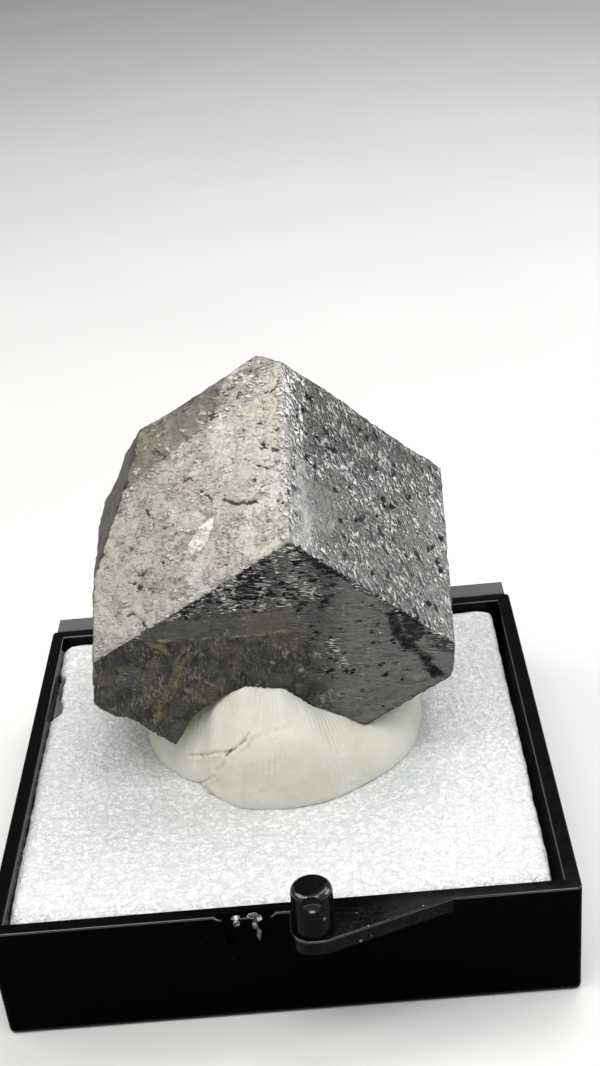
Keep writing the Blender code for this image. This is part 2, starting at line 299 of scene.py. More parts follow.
def bumpNode(height, strength, distance):
    return newNode(height.tree, "Bump", {"Strength": strength, "Distance": distance * mm, "Height": height})


def newMaterial(name, **constants):
    material = bpy.data.materials.new(name)
    material.use_nodes = True
    inputs = material.node_tree.nodes["Principled BSDF"].inputs
    for key, value in constants.items():
        inputs[key.replace("_", " ")].default_value = value
    return material, material.node_tree, inputs


def newGroup(name, numbers, outputs):
    # every shared group takes a vector and some numbers
    group = bpy.data.node_groups.new(name, "ShaderNodeTree")
    group.interface.new_socket("Vector", in_out="INPUT", socket_type="NodeSocketVector")
    for label, value in numbers.items():
        socket = group.interface.new_socket(label, in_out="INPUT", socket_type="NodeSocketFloat")
        socket.default_value = value
    for label in outputs:
        group.interface.new_socket(label, in_out="OUTPUT", socket_type="NodeSocketFloat")
    source = group.nodes.new("NodeGroupInput")
    given = {label: Wire(group, source.outputs[label]) for label in ("Vector", *numbers)}
    return group, given, group.nodes.new("NodeGroupOutput").inputs


def useGroup(tree, group, **values):
    made = tree.nodes.new("ShaderNodeGroup")
    made.node_tree = group
    for key, value in values.items():
        feed(made.inputs[key], value)
    return {socket.name: Wire(tree, socket) for socket in made.outputs}


# shader groups that the materials share

def buildEtching():
    # raised dashes painted as glints, with painted shade on one side, and holes, drawn out along one
    # direction of a flat map
    group, given, result = newGroup(
        "etching", {"Angle": 0.0, "Along": 1.0, "Across": 0.3, "Wander": 0.3, "Amount": 0.0, "Seed": 0.0},
        ("Flecks", "Glints", "HolesAndShade", "Lines", "Height"))
    turned = newNode(group, "VectorRotate", {"Vector": given["Vector"], "Angle": given["Angle"]},
                     rotation_type="Z_AXIS")
    size = newNode(group, "CombineXYZ", {0: given["Along"], 1: given["Across"], 2: 1.0})
    cells = vectorNode("ADD", vectorNode("DIVIDE", turned, size), given["Seed"])
    moved = vectorNode("ADD", cells, (0.0, 0.24, 0.0))
    coarse = noiseNode(cells, 0.9, 2.5, 0.55, given["Wander"])
    fine = noiseNode(cells, 2.0, 1.6, 0.5, given["Wander"])
    sideways = noiseNode(moved, 2.0, 1.6, 0.5, given["Wander"])
    cluster = (noiseNode(given["Vector"], 0.5, 2.0, 0.6) - 0.5) * 0.5 + given["Amount"]
    # glints are painted highlights on the raised dashes, shade is the painted shade beside them
    glints = ramp(fine + cluster, 0.60, 0.67)
    shade = ramp(sideways + cluster, 0.56, 0.63) * (1.0 - glints)
    holes = cellNode(cells, 0.8)
    reach = ramp(splitVector(holes.beside("Color")) + cluster, 0.72, 1.05, 0.0, 0.42)
    pits = ramp(reach + 0.08 - (holes + fine * 0.3), 0.0, 0.06)
    # thin threads, which the materials paint as highlights
    lines = ramp(abs(fine - 0.47), 0.03, 0.0)
    feed(result["Flecks"], ramp(coarse * 0.6 + fine * 0.4, 0.38, 0.64))
    feed(result["Glints"], glints * (1.0 - pits))
    feed(result["HolesAndShade"], mathNode("MAXIMUM", shade * 0.8, pits))
    feed(result["Lines"], lines)
    feed(result["Height"], coarse + glints * 0.35 + lines * 0.12 + fine * 0.5 - pits * 0.45)
    return group


def buildHairlines():
    # fine winding cracks that come and go
    group, given, result = newGroup("hairlines", {"Scale": 1.0, "Width": 0.01}, ("Mask",))
    winding = noiseNode(given["Vector"], given["Scale"], 2.0, 0.6, 0.8)
    line = ramp(abs(winding - 0.5), given["Width"], 0.0)
    patches = noiseNode(given["Vector"], given["Scale"] * 0.8)
    feed(result["Mask"], line * ramp(patches, 0.5, 0.6))
    return group


def buildSpecks():
    # sparse small spots of uneven size
    group, given, result = newGroup("specks", {"Scale": 1.0, "Amount": 0.2}, ("Mask",))
    away = cellNode(given["Vector"], given["Scale"])
    reach = ramp(splitVector(away.beside("Color")), 0.4, 1.0) * given["Amount"]
    feed(result["Mask"], ramp(reach - away, 0.0, 0.05))
    return group


etching = buildEtching()
hairlines = buildHairlines()
specks = buildSpecks()


# stage: camera, floor and lights

stage = {
    "cameraPlace": (8.31, -136.09, 103.09),
    "cameraTurn": (62.811, 5.218, -0.813),     # degrees
    "lens": 57.29,
    "sensor": 36.0,
    "nearClip": 0.001,
    "floorSize": 6000,
    "floorColour": (0.74, 0.73, 0.71),
    "world": (0.30, 0.31, 0.33),
    "worldStrength": 0.85,
    # name: place, aim, width, height, power in watts, colour
    "lamps": {
        "keyLamp": ((-230, -20, 290), (0, 5, 22), 260, 220, 0.56, (1.0, 0.985, 0.95)),
        "topLamp": ((0, -150, 380), (0, 0, 10), 320, 280, 1.02, (1.0, 1.0, 1.0)),
        "backLamp": ((90, 190, 350), (4, 12, 12), 240, 200, 0.75, (1.0, 1.0, 1.0)),
        "sideLamp": ((290, 50, 160), (0, 5, 22), 180, 180, 0.36, (0.97, 0.99, 1.0)),
    },
}


def hangObject(name, data, place, turn):
    # puts a camera or lamp at its place in millimetres
    holder = bpy.data.objects.new(name, data)
    holder.location = Vector(place) * mm
    holder.rotation_euler = turn
    bpy.context.collection.objects.link(holder)
    return holder


def buildStage():
    camera = bpy.data.cameras.new("camera")
    camera.lens = stage["lens"]
    camera.sensor_width = stage["sensor"]
    camera.clip_start = stage["nearClip"]
    turn = Euler([radians(angle) for angle in stage["cameraTurn"]])
    bpy.context.scene.camera = hangObject("camera", camera, stage["cameraPlace"], turn)

    floor = addShape("floor", bpy.ops.mesh.primitive_plane_add, size=stage["floorSize"] * mm)
    material, tree, inputs = newMaterial("paleFloor", Roughness=0.6)
    tone = ramp(noiseNode(objectCoords(tree), 0.02), 0.3, 0.7, 0.97, 1.0)
    feed(inputs["Base Color"], mixColour(1.0, stage["floorColour"], tone, "MULTIPLY"))
    floor.data.materials.append(material)

    for name, (place, aim, width, height, power, colour) in stage["lamps"].items():
        lamp = bpy.data.lights.new(name, "AREA")
        lamp.shape = "RECTANGLE"
        lamp.size = width * mm
        lamp.size_y = height * mm
        lamp.energy = power
        lamp.color = colour
        turn = (Vector(place) - Vector(aim)).to_track_quat("Z", "Y").to_euler()
        hangObject(name, lamp, place, turn)

    world = bpy.data.worlds.new("studio")
    world.use_nodes = True
    sky = world.node_tree.nodes["Background"]
    sky.inputs["Color"].default_value = (*stage["world"], 1.0)
    sky.inputs["Strength"].default_value = stage["worldStrength"]
    bpy.context.scene.world = world
    bpy.context.scene.view_settings.view_transform = "Standard"


buildStage()
print("stage set")


# the crystal

crystal = {
    "centre": (0.9, 12.3, 24.5),
    "turn": (162.8, -82.7, -24.8),     # degrees, from the crystal's own axes to the box
    # name: direction in the crystal's axes, distance from the centre
    "faces": {
        "left": ((1, 1, 0), 16.5), "right": ((1, 0, 1), 16.5), "front": ((0, 1, 1), 16.5),
        "topBackLeft": ((1, 0, -1), 16.9), "topBackRight": ((1, -1, 0), 14.65),
        "leftSide": ((0, 1, -1), 17.55), "rightSide": ((0, -1, 1), 15.45),
        "underRight": ((-1, 0, 1), 17.9), "underLeft": ((-1, 1, 0), 20.8),
        "lowBackRight": ((-1, -1, 0), 13.5), "lowBackLeft": ((-1, 0, -1), 13.5),
        "back": ((0, -1, -1), 10.5),
        "strip": ((0.761, 0.623, -0.184), 17.41), "sliver": ((0.369, 0.616, -0.696), 17.25),
    },
    "uprightFaces": ("left", "right", "strip", "sliver"),
    "fineFaces": ("left", "right", "front", "strip"),
    "roughSize": 180,
    "voxel": 0.335,
    # how far under a face's plane its skin still counts, for each step of the work
    "fineDepth": 0.25,
    "snapDepth": 0.16,
    "skinDepth": 0.18,
    "brokenDepth": 0.45,
    "edgeBlend": 0.12,
    "masks": ("tan", "dark", "pale", "calm", "weather", "flake", "sheen"),
    # width and depth of worn and of chipped edges
    "wornEdge": (0.34, 0.11),
    "chippedEdge": (0.55, 0.16),
    # lower edge of the front face, as (x, z), where the crystal broke from its rock
    "breakEdge": (
        (-40.0, 21.5), (-16.5, 19.5), (-15.6, 18.6), (-13.6, 18.2), (-12.5, 17.4), (-10.6, 15.5),
        (-9.65, 14.3), (-9.05, 15.1), (-7.9, 17.2), (-6.8, 18.2), (-5.1, 19.2), (-2.35, 20.4),
        (-1.0, 19.35), (0.6, 18.55), (2.0, 17.6), (3.3, 17.4), (4.65, 16.75), (6.0, 15.9),
        (7.4, 14.8), (8.7, 14.3), (40.0, 13.0)),
    "breakStart": -4.0,
    "breakFade": 9.0,
    "breakLevel": 15.0,
    "breakRelief": 0.9,
    "breakLumps": 0.16,        # lumps of the break per millimetre
    "breakGrid": (120, 70),
    "breakSize": (60, 40),
    "breakMiddle": 13,
    "breakDepth": 30,
    "underRelief": 0.35,
    # place, reach and shift of slight swellings and hollows of the outline
    "nudges": (
        ((-15.0, 21.0, 31.3), 5.0, (0.62, 0.0, 0.0)),
        ((6.0, 9.6, 43.8), 7.0, (0.0, 0.0, 0.33)),
        ((-11.0, 13.2, 38.6), 3.5, (-0.1, 0.0, 0.2)),
    ),
}

centre = np.array(crystal["centre"])
crystalTurn = Euler([radians(angle) for angle in crystal["turn"]]).to_matrix()
faceNames = list(crystal["faces"])
faceNormals = np.array([crystalTurn @ Vector(way).normalized() for way, _ in crystal["faces"].values()])
faceReach = np.array([reach for _, reach in crystal["faces"].values()])
ridge = np.array(crystalTurn @ Vector((1, -1, -1)).normalized())
pole = np.array(crystalTurn @ Vector((1, 0, 0)))
# the corner where the left, right and front faces meet is the origin of every face's flat map
cornerStep = crystal["faces"]["front"][1] / sqrt(2)
corner = centre + np.array(crystalTurn @ Vector((cornerStep, cornerStep, cornerStep)))


def faceMap(name, points):
    # flat coordinates on a face: u to the right, v up the face, seen from outside
    normal = faceNormals[faceNames.index(name)]
    up = ridge if name in crystal["uprightFaces"] else pole
    up = up - normal * up.dot(normal)
    up = up / np.linalg.norm(up)
    across = np.cross(up, normal)
    return (points - corner) @ across, (points - corner) @ up


def faceOverrun(points):
    # how far each point stands beyond each face's plane
    return (points - centre) @ faceNormals.T - faceReach


def breakHeight(x, y):
    edge = np.interp(x, *zip(*crystal["breakEdge"]))
    fade = smooth((y - crystal["breakStart"]) / crystal["breakFade"])
    lumps = crystal["breakLumps"]
    rough = fractalAt(np.stack([x * lumps, y * lumps, np.full(len(x), 3.0)], axis=1), 3, 0.9, 2.1)
    ground = crystal["breakLevel"] + crystal["breakRelief"] * rough
    return edge + (ground - edge) * fade


def cutFaces():
    body = addShape("magnetiteCrystal", bpy.ops.mesh.primitive_cube_add, place=centre * mm,
                    size=crystal["roughSize"] * mm)
    editMode()
    for normal, reach in zip(faceNormals, faceReach):
        bpy.ops.mesh.select_all(action="SELECT")
        bpy.ops.mesh.bisect(plane_co=(centre + normal * reach) * mm, plane_no=normal,
                            use_fill=True, clear_outer=True)
    objectMode()
    return body


def cutBreak(body):
    # a block with a rough top takes away everything under the break
    wide, deep = crystal["breakSize"]
    columns, rows = crystal["breakGrid"]
    block = addShape("breakBlock", bpy.ops.mesh.primitive_grid_add, (wide * mm, deep * mm, 1),
                     (0, crystal["breakMiddle"] * mm, 0),
                     x_subdivisions=columns, y_subdivisions=rows, size=1.0)
    points = readPoints(block)
    points[:, 2] = breakHeight(points[:, 0], points[:, 1])
    writePoints(block, points)
    drawOut((0, 0, -crystal["breakDepth"]))
    combine(body, block, "DIFFERENCE")


def refineFaces(body):
    # even quads all over, then twice as fine on the faces that show most
    applyModifier(body, "REMESH", mode="VOXEL", voxel_size=crystal["voxel"] * mm)
    over = faceOverrun(faceCentres(body))
    fine = [faceNames.index(name) for name in crystal["fineFaces"]]
    selectFaces(body, np.isin(over.argmax(axis=1), fine) & (over.max(axis=1) > -crystal["fineDepth"]))
    bpy.ops.mesh.subdivide(number_cuts=1)
    objectMode()


def sharpenFaces(body):
    # put every skin point back on its plane, and the points near two planes on their edge
    points = readPoints(body)
    for _ in range(4):
        over = faceOverrun(points)
        for index, normal in enumerate(faceNormals):
            near = over[:, index] > -crystal["snapDepth"]
            points[near] -= over[near, index][:, None] * normal
            over = faceOverrun(points)
    writePoints(body, points)


def turned(u, v, angle):
    # flat coordinates along and across a direction given in degrees
    turn = radians(angle)
    return u * cos(turn) + v * sin(turn), v * cos(turn) - u * sin(turn)


def turnedNoise(u, v, angle, along, across, seed):
    # noise drawn out along one direction of a face
    a, b = turned(u, v, angle)
    return fractalAt(np.stack([a / along, b / across, np.full(len(u), seed)], axis=1), 2)


def chipField(u, v, angle, along, across, seed):
    # flat chips side by side, each tilted its own way: height, and a random value per chip
    a, b = turned(u, v, angle)
    a, b = a / along, b / across
    best = np.full(len(u), 1e9)
    height, value = np.zeros(len(u)), np.zeros(len(u))
    for stepA in (-1, 0, 1):
        for stepB in (-1, 0, 1):
            cellA, cellB = np.floor(a) + stepA, np.floor(b) + stepB
            key = cellA * 12.9898 + cellB * 78.233 + seed      # scrambled into five fixed draws
            drawn = [np.modf(np.abs(np.sin(key * (1 + 0.37 * k))) * 4375.85)[0] for k in range(5)]
            overA, overB = a - cellA - drawn[0], b - cellB - drawn[1]
            away = overA ** 2 + overB ** 2
            closer = away < best
            tilt = (drawn[2] - 0.5) * overA + (drawn[3] - 0.5) * overB + 0.5 * (drawn[4] - 0.5)
            best = np.where(closer, away, best)
            height = np.where(closer, tilt, height)
            value = np.where(closer, drawn[4], value)
    return height, value


pitPlans = {
    # count, half length, half width, depth, direction and its spread in degrees, u range, v range
    "left": (60, 0.28, 0.13, 0.14, -14, 50, (-20, -0.5), (-7, 17.5)),
    "right": (170, 0.30, 0.09, 0.15, -50, 45, (0.3, 18), (-7, 17.5)),
    "front": (60, 0.36, 0.12, 0.14, -3, 16, (1.5, 15.5), (-18, -3)),
    "weathered": (120, 0.5, 0.25, 0.2, -50, 40, (-20, 20), (-20, 20)),
}


def pitField(u, v, plan, seed):
    count, longHalf, shortHalf, depth, angle, spread, uRange, vRange = pitPlans[plan]
    draw = Random(seed)
    sunk = np.zeros(len(u))
    for _ in range(count):
        pu, pv = draw.uniform(*uRange), draw.uniform(*vRange)
        size = draw.uniform(0.4, 1.0) ** 1.5
        turn = angle + draw.gauss(0, spread)
        length = longHalf * size * draw.uniform(0.6, 1.6)
        width = shortHalf * (0.6 + 0.4 * size) * draw.uniform(0.7, 1.4)
        near = (np.abs(u - pu) < 1.2) & (np.abs(v - pv) < 1.2)
        along, across = turned(u[near] - pu, v[near] - pv, turn)
        reach = np.abs(along / length) ** 1.6 + np.abs(across / width) ** 1.6
        sunk[near] = np.maximum(sunk[near], depth * size * smooth((1.15 - reach) / 0.7))
    return sunk


def spotField(u, v, spots, wobble, fade, shrink=1.0):
    # ragged round spots: 1 inside, fading out over the given width
    found = np.zeros(len(u))
    for su, sv, radius in spots:
        away = np.hypot(u - su, v - sv)
        found = np.maximum(found, smooth((shrink * radius - away + wobble) / fade + 0.5))
    return found


def zoneField(u, v, outline, ragged, fade, start=0.3):
    # 1 inside a ragged outline, fading out over the given width
    return smooth((insideDistance(u, v, outline) + ragged) / fade + start)


leftMarks = {
    "inclusion": ((-10.4, 1.5), (-9.7, 0.95), (-8.7, 1.25), (-8.0, 2.2), (-7.5, 3.1), (-7.3, 3.9),
                  (-6.9, 4.7), (-7.3, 4.8), (-8.4, 4.3), (-9.1, 3.85), (-9.95, 2.95), (-10.4, 2.2)),
    "tail": ((-7.4, 4.4), (-6.95, 5.1), (-6.6, 5.9)),
    "spot": (-6.16, 2.32),
    "groove": ((-6.16, 2.3), (-6.33, -0.2), (-6.8, -2.95)),
    # points, half width
    "cracks": ((((-6.5, 5.75), (-6.0, 5.6), (-5.3, 5.05), (-4.6, 5.0), (-3.8, 4.8), (-3.2, 4.75)),
                0.13), (((-3.2, 4.75), (-2.6, 4.3), (-1.7, 3.5)), 0.06),
               (((-1.85, 15.3), (-1.35, 15.2), (-0.95, 15.4), (-0.6, 15.6), (-0.4, 16.3),
                 (-0.6, 16.75)), 0.13),
               (((-12.9, 4.6), (-12.3, 4.2), (-11.8, 4.0), (-11.1, 3.4)), 0.07),
               (((-9.8, 11.9), (-8.75, 11.3)), 0.06),
               (((-12.8, 1.0), (-12.6, -0.2), (-13.1, -0.8)), 0.06),
               (((-16.6, -3.4), (-16.0, -3.2), (-15.2, -3.9), (-14.7, -4.7)), 0.07),
               (((-2.3, 10.2), (-1.9, 9.8)), 0.16), (((-1.2, 9.5), (-0.9, 9.3)), 0.15),
               (((-2.9, 8.4), (-2.5, 8.0), (-2.0, 7.8), (-1.3, 7.7)), 0.11),
               (((-1.3, 4.5), (-0.6, 4.0)), 0.12), (((-1.1, 11.4), (-0.7, 11.3)), 0.09),
               (((-4.3, 12.3), (-4.1, 12.2)), 0.12), (((-13.5, 13.2), (-13.0, 13.0)), 0.08),
               (((-12.2, 9.2), (-11.0, 8.6), (-9.9, 8.8), (-9.2, 8.2)), 0.05),
               (((-14.6, 6.8), (-13.9, 5.6), (-13.7, 4.4)), 0.05),
               (((-5.6, 1.2), (-4.7, 0.2), (-4.9, -0.9)), 0.05),
               (((-3.9, 1.6), (-3.2, 0.9), (-2.3, 0.8)), 0.05),
               (((-8.9, 7.2), (-8.0, 6.6), (-7.6, 5.8)), 0.05),
               (((-11.8, -3.8), (-10.9, -4.4), (-9.8, -4.3)), 0.05)),
    # place, radius
    "holes": ((-16.3, 3.25, 0.30), (-15.1, 0.3, 0.32), (-15.9, -0.3, 0.20), (-15.3, -1.0, 0.24),
              (-14.2, -1.1, 0.26), (-9.2, 15.85, 0.3), (-8.7, 15.3, 0.3), (-9.35, 13.6, 0.3),
              (-10.6, 13.3, 0.3), (-12.0, 12.4, 0.25), (-12.8, 11.8, 0.3), (-5.6, 9.4, 0.25),
              (-4.9, 6.9, 0.25), (-3.4, 7.0, 0.25), (-2.5, 6.3, 0.22)),
    # weathered strip above this line
    "crust": ((-20.0, 10.6), (-16.5, 11.0), (-15.2, 11.5), (-13.0, 11.3), (-11.7, 12.0), (-10.65, 12.9),
              (-9.15, 13.5), (-8.15, 14.5), (-7.2, 16.0), (-6.1, 17.2), (-4.8, 18.1), (-2.6, 19.0),
              (-2.6, 26), (-20, 26)),
    "creams": ((-8.0, 16.6, 0.7), (-6.3, 15.5, 0.9), (-5.3, 16.2, 0.8), (-6.0, 14.4, 0.9),
               (-1.4, 13.5, 0.9), (-1.6, 12.5, 0.7), (-4.0, 13.4, 0.8), (-4.1, 16.9, 0.7),
               (-4.6, 18.4, 0.5), (-0.5, 15.0, 0.6)),
    "rust": (-12.5, 14.0),
    # how high each form stands or how deep it goes
    "relief": {"swell": 0.05, "worms": 0.045, "chips": 0.035, "holes": 0.16, "cracks": 0.15,
               "groove": 0.10, "inside": 0.05, "rim": 0.05, "spot": 0.05, "crust": 0.12,
               "crustSink": 0.08, "ridge": 0.16},
}


def reliefLeft(points):
    u, v = faceMap("left", points)
    wobble = noiseAt(points, 0.8, 2, 29.0)
    deep = leftMarks["relief"]
    height = deep["swell"] * noiseAt(points, 4.0, 2, 11.0) + deep["worms"] * noiseAt(points, 0.75, 3, 17.0)
    height += deep["chips"] * chipField(u, v, 20, 1.1, 0.8, 3.0)[0]
    sunk = pitField(u, v, "left", 3)
    holes = spotField(u, v, leftMarks["holes"], 0.12 * wobble, 0.22)
    cracks = highest(*[smooth(1.4 - (lineDistance(u, v, crack) + 0.10 * wobble) / half)
                       for crack, half in leftMarks["cracks"]])
    groove = smooth(1 - lineDistance(u, v, leftMarks["groove"]) / 0.35)
    body = insideDistance(u, v, leftMarks["inclusion"]) + 0.12 * wobble
    inside = smooth(body / 0.22)
    patchy = 0.4 + 0.6 * smooth(noiseAt(points, 0.7, 1, 43.0) / 0.3 + 0.5)
    rim = smooth(1 - np.abs(body + 0.05) / 0.24) * patchy
    tail = smooth((0.14 - lineDistance(u, v, leftMarks["tail"]) + 0.08 * wobble) / 0.12 + 0.5)
    spotAway = np.hypot(u - leftMarks["spot"][0], v - leftMarks["spot"][1])
    spot = smooth((0.36 - spotAway + 0.14 * wobble) / 0.12)
    rust = smooth((0.30 - np.hypot(u - leftMarks["rust"][0], v - leftMarks["rust"][1])) / 0.3)
    crust = zoneField(u, v, leftMarks["crust"], 0.35 * wobble, 0.45, 0.5)
    weather = crust * (1 - 0.8 * smooth((u + 8.5 + wobble) / 4))
    creams = spotField(u, v, leftMarks["creams"], 0.7 * wobble, 0.7)
    ridgeBand = smooth((u + 1.0 + 0.8 * wobble) / 0.5)
    height += (-sunk - deep["holes"] * holes - deep["cracks"] * cracks - deep["groove"] * groove
               - deep["inside"] * inside + deep["rim"] * rim + deep["spot"] * spot)
    height += crust * (deep["crust"] * noiseAt(points, 1.2, 3, 53.0) - deep["crustSink"])
    height += ridgeBand * (deep["ridge"] * chipField(u, v, 80, 0.8, 0.35, 19.0)[0])
    mottles = 0.9 * crust * smooth((noiseAt(points, 1.3, 3, 57.0) + 0.08) / 0.3)
    clouds = 0.16 * smooth((noiseAt(points, 3.4, 3, 63.0) - 0.02) / 0.22)
    still = 0.6 * smooth((noiseAt(points, 3.2, 2, 61.0) + 0.1) / 0.3) * (1 - ridgeBand)
    # painted highlight towards the ridge and the top, painted shade at the left end
    sheen = 0.75 * smooth((u + 9 + 0.4 * (v - 3)) / 11) - 0.4 * smooth((-10 - u) / 5)
    return height, {
        "tan": highest(0.6 * rim, 0.5 * spot, rust, 0.4 * tail, 0.65 * creams, mottles, clouds),
        "pale": highest(0.55 * inside, 0.5 * tail, 0.55 * spot),
        "dark": highest(0.6 * smooth(sunk / 0.1), 0.8 * holes, cracks, 0.3 * groove),
        "calm": highest(0.8 * inside, still),
        "weather": weather, "flake": 0.55 * ridgeBand,
        # painted shade over the weathered crust
        "sheen": np.clip(sheen, -0.5, 1) * (1 - crust) - 0.5 * weather,
    }


rightMarks = {
    "smooth": ((0.7, 6.4), (3.0, 7.0), (5.4, 6.2), (5.6, 3.0), (4.6, 1.0), (0.6, 0.6)),
    "shade": ((0.7, 6.6), (5.6, 7.4), (6.4, 4.0), (3.0, 2.6), (0.9, 3.4)),
    # place, radius
    "holes": ((1.3, 13.4, 0.34), (2.1, 13.5, 0.25), (1.5, 12.7, 0.25), (1.3, 11.8, 0.32),
              (2.4, 11.3, 0.38), (1.2, 9.2, 0.27), (0.8, 7.7, 0.29), (2.4, 9.0, 0.34), (3.2, 9.2, 0.32),
              (3.1, 8.25, 0.38), (0.8, 6.6, 0.36), (5.2, 11.7, 0.27), (5.6, 11.4, 0.29),
              (4.7, 10.5, 0.32), (5.5, 10.3, 0.38), (6.4, 13.4, 0.21), (8.5, 13.2, 0.27),
              (9.4, 12.5, 0.34), (5.4, 6.4, 0.32), (4.8, 5.4, 0.32), (7.15, 7.5, 0.27),
              (10.0, 9.6, 0.34), (12.1, 9.4, 0.36), (12.9, 8.8, 0.27), (13.9, 7.7, 0.21),
              (10.6, 6.7, 0.27), (10.9, 6.0, 0.32), (11.6, 6.2, 0.27), (9.8, 4.8, 0.23),
              (8.25, 4.0, 0.38), (8.9, 4.1, 0.32), (5.8, 3.4, 0.25), (7.2, 3.8, 0.27),
              (15.6, 4.2, 0.27), (17.1, 4.1, 0.27), (15.7, 2.6, 0.42), (12.9, 1.4, 0.36),
              (8.5, -0.5, 0.34), (8.8, -1.0, 0.27), (6.0, 0.0, 0.27), (16.8, 0.7, 0.32),
              (13.4, -0.4, 0.27), (16.4, 1.4, 0.29), (9.45, 14.6, 0.32), (2.9, 15.0, 0.25),
              (1.8, 16.6, 0.25), (15.2, -3.0, 0.32), (11.6, 2.8, 0.21), (6.5, 1.7, 0.21)),
    "stains": ((5.2, 14.6, 2.0), (3.2, 16.2, 1.0), (15.3, 10.4, 1.6), (8.5, 11.6, 1.0)),
    "relief": {"swell": 0.04, "strokes": 0.10, "chips": 0.11, "holes": 0.2},
}


def reliefRight(points):
    u, v = faceMap("right", points)
    wobble = noiseAt(points, 0.7, 2, 71.0)
    broad = noiseAt(points, 2.2, 2, 73.0)
    calm = zoneField(u, v, rightMarks["smooth"], 1.3 * broad, 1.6, 0.35)
    strength = 1 - 0.75 * calm
    strokes = turnedNoise(u, v, -58, 1.1, 0.26, 9.0)
    chips = chipField(u, v, -56, 1.2, 0.42, 7.0)[0]
    deep = rightMarks["relief"]
    height = deep["swell"] * noiseAt(points, 3.5, 2, 13.0)
    height += strength * (deep["strokes"] * strokes + deep["chips"] * chips)
    sunk = pitField(u, v, "right", 7) * strength
    holes = spotField(u, v, rightMarks["holes"], 0.42 * wobble, 0.2, 0.68)
    height -= highest(sunk, deep["holes"] * holes)
    # painted highlight at the lower left, along the ridge and at the right end; painted shade over the
    # shade patch and at the top
    sheen = 0.9 * smooth((5.5 - u - v) / 5) + 1.0 * smooth((3.2 - u) / 2) + 0.4 * smooth((u - 13) / 4)
    sheen -= 0.3 * zoneField(u, v, rightMarks["shade"], broad, 1.5, 0.0)
    sheen -= 0.7 * smooth((v - 7.5 + broad) / 3) * smooth(u / 2)
    return height, {
        "tan": 0.4 * spotField(u, v, rightMarks["stains"], 1.6 * broad, 1.4),
        "dark": highest(0.8 * smooth(sunk / 0.12), 0.9 * holes),
        "calm": 0.8 * calm, "flake": np.clip(0.3 + 0.35 * smooth((v - 6) / 4) - 0.3 * calm, 0, 1),
        "sheen": np.clip(sheen, -0.8, 1),
    }


